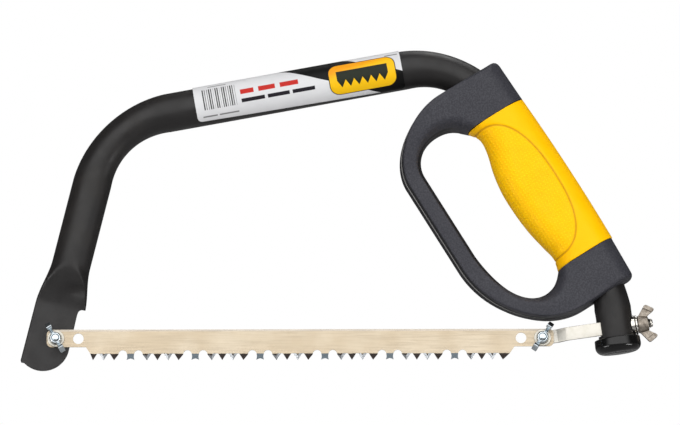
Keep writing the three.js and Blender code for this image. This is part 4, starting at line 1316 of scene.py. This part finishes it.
def softbox(name, target, offset, size, power):
    light = bpy.data.lights.new(name, "AREA")
    light.shape = "RECTANGLE"
    light.size, light.size_y = size
    light.energy = power
    lamp = linked(name, light)
    lamp.location = target + Vector(offset)
    lamp.rotation_euler = (-Vector(offset)).to_track_quat("-Z", "Y").to_euler()


def camera():
    """Long lens, almost square on and a little below the saw."""
    azimuth, elevation = math.radians(1), math.radians(-8)
    view_width = 0.4106
    data = bpy.data.cameras.new("camera")
    data.lens = 300
    data.sensor_width = 36
    distance = view_width * data.lens / data.sensor_width
    back = Vector((
        math.sin(azimuth) * math.cos(elevation),
        -math.cos(azimuth) * math.cos(elevation),
        math.sin(elevation),
    ))
    target = Vector((0.0003, 0, 0.0958))
    eye = linked("camera", data)
    eye.location = target + distance * back
    eye.rotation_euler = (-back).to_track_quat("-Z", "Y").to_euler()
    bpy.context.scene.camera = eye
    bpy.context.scene.view_settings.view_transform = "Standard"


# ------------------------------------------------------------------ the saw
def split_edges(piece, least_flat):
    """Gives a flat piece's cut edges their second material."""
    for face in piece.data.polygons:
        face.material_index = 0 if abs(face.normal.y) > least_flat else 1


camera()
studio()

coat = black_coat()
plastic = black_plastic()
rubber = yellow_rubber()
zinc = plated("zinc_plate", (0.56, 0.61, 0.64), 0.2, (0.45, 0.5, 0.53))
nickel = plated("nickel_plate", (0.6, 0.58, 0.54), 0.1, (0.52, 0.5, 0.45))
strip = plated("plated_strip", (0.72, 0.69, 0.62), 0.42, (0.67, 0.64, 0.56), 0.2)
# The strap's edge faces: dark raw steel where it was sheared, darkened further as painted shade along its
# edges.
sheared_and_shaded = plated("sheared_edge", (0.16, 0.15, 0.13), 0.5, (0.1, 0.09, 0.08), 0.5)
washers = plated("washer_plate", (0.42, 0.4, 0.35), 0.34, (0.36, 0.34, 0.3))

install(frame_tube(), "frame_tube", coat)
install(tube_end_cap(), "tube_end_cap", black_vinyl())
install(tube_label(), "tube_label", label_print())
sides = (("near", -1), ("far", 1))
for word, side in sides:
    install(handle_half(f"housing_{word}", side), f"handle_half_{word}", plastic)
for word, side in sides:
    install(grip_pad(f"pad_{word}", side), f"grip_pad_{word}", rubber)
for screw_index in range(len(HANDLE_SCREWS)):
    install(handle_screw(screw_index), f"handle_screw_{screw_index + 1}", zinc)

toothed = install(blade(), "blade", (blade_steel(), filed_steel()))
split_edges(toothed, 0.999)
strap_seat = -TOE_HALF_THICK + STRAP_THICK
for word, end, (x, z), seat, turn in (
    ("toe", "front", (0, 0), TOE_HALF_THICK, 59.5),
    ("heel", "rear", rear_screw, strap_seat, -55.5),
):
    install(blade_screw(f"{word}_screw", x, z, seat), f"{end}_blade_screw", zinc)
    install(blade_washer(f"{word}_washer", x, z), f"{end}_washer", washers)
    install(blade_nut(f"{word}_nut", x, z, turn), f"{end}_wing_nut", zinc)

strap = install(tension_strap(), "tension_strap", (strip, sheared_and_shaded))
# The edge faces take the dark sheared steel with its painted shade.
split_edges(strap, 0.6)
install(tension_stud(), "tension_stud", nickel)
install(saddle_washer(), "saddle_washer", nickel)
install(tension_washer(), "tension_washer", nickel)
install(tension_nut(), "tension_wing_nut", cast_zinc())
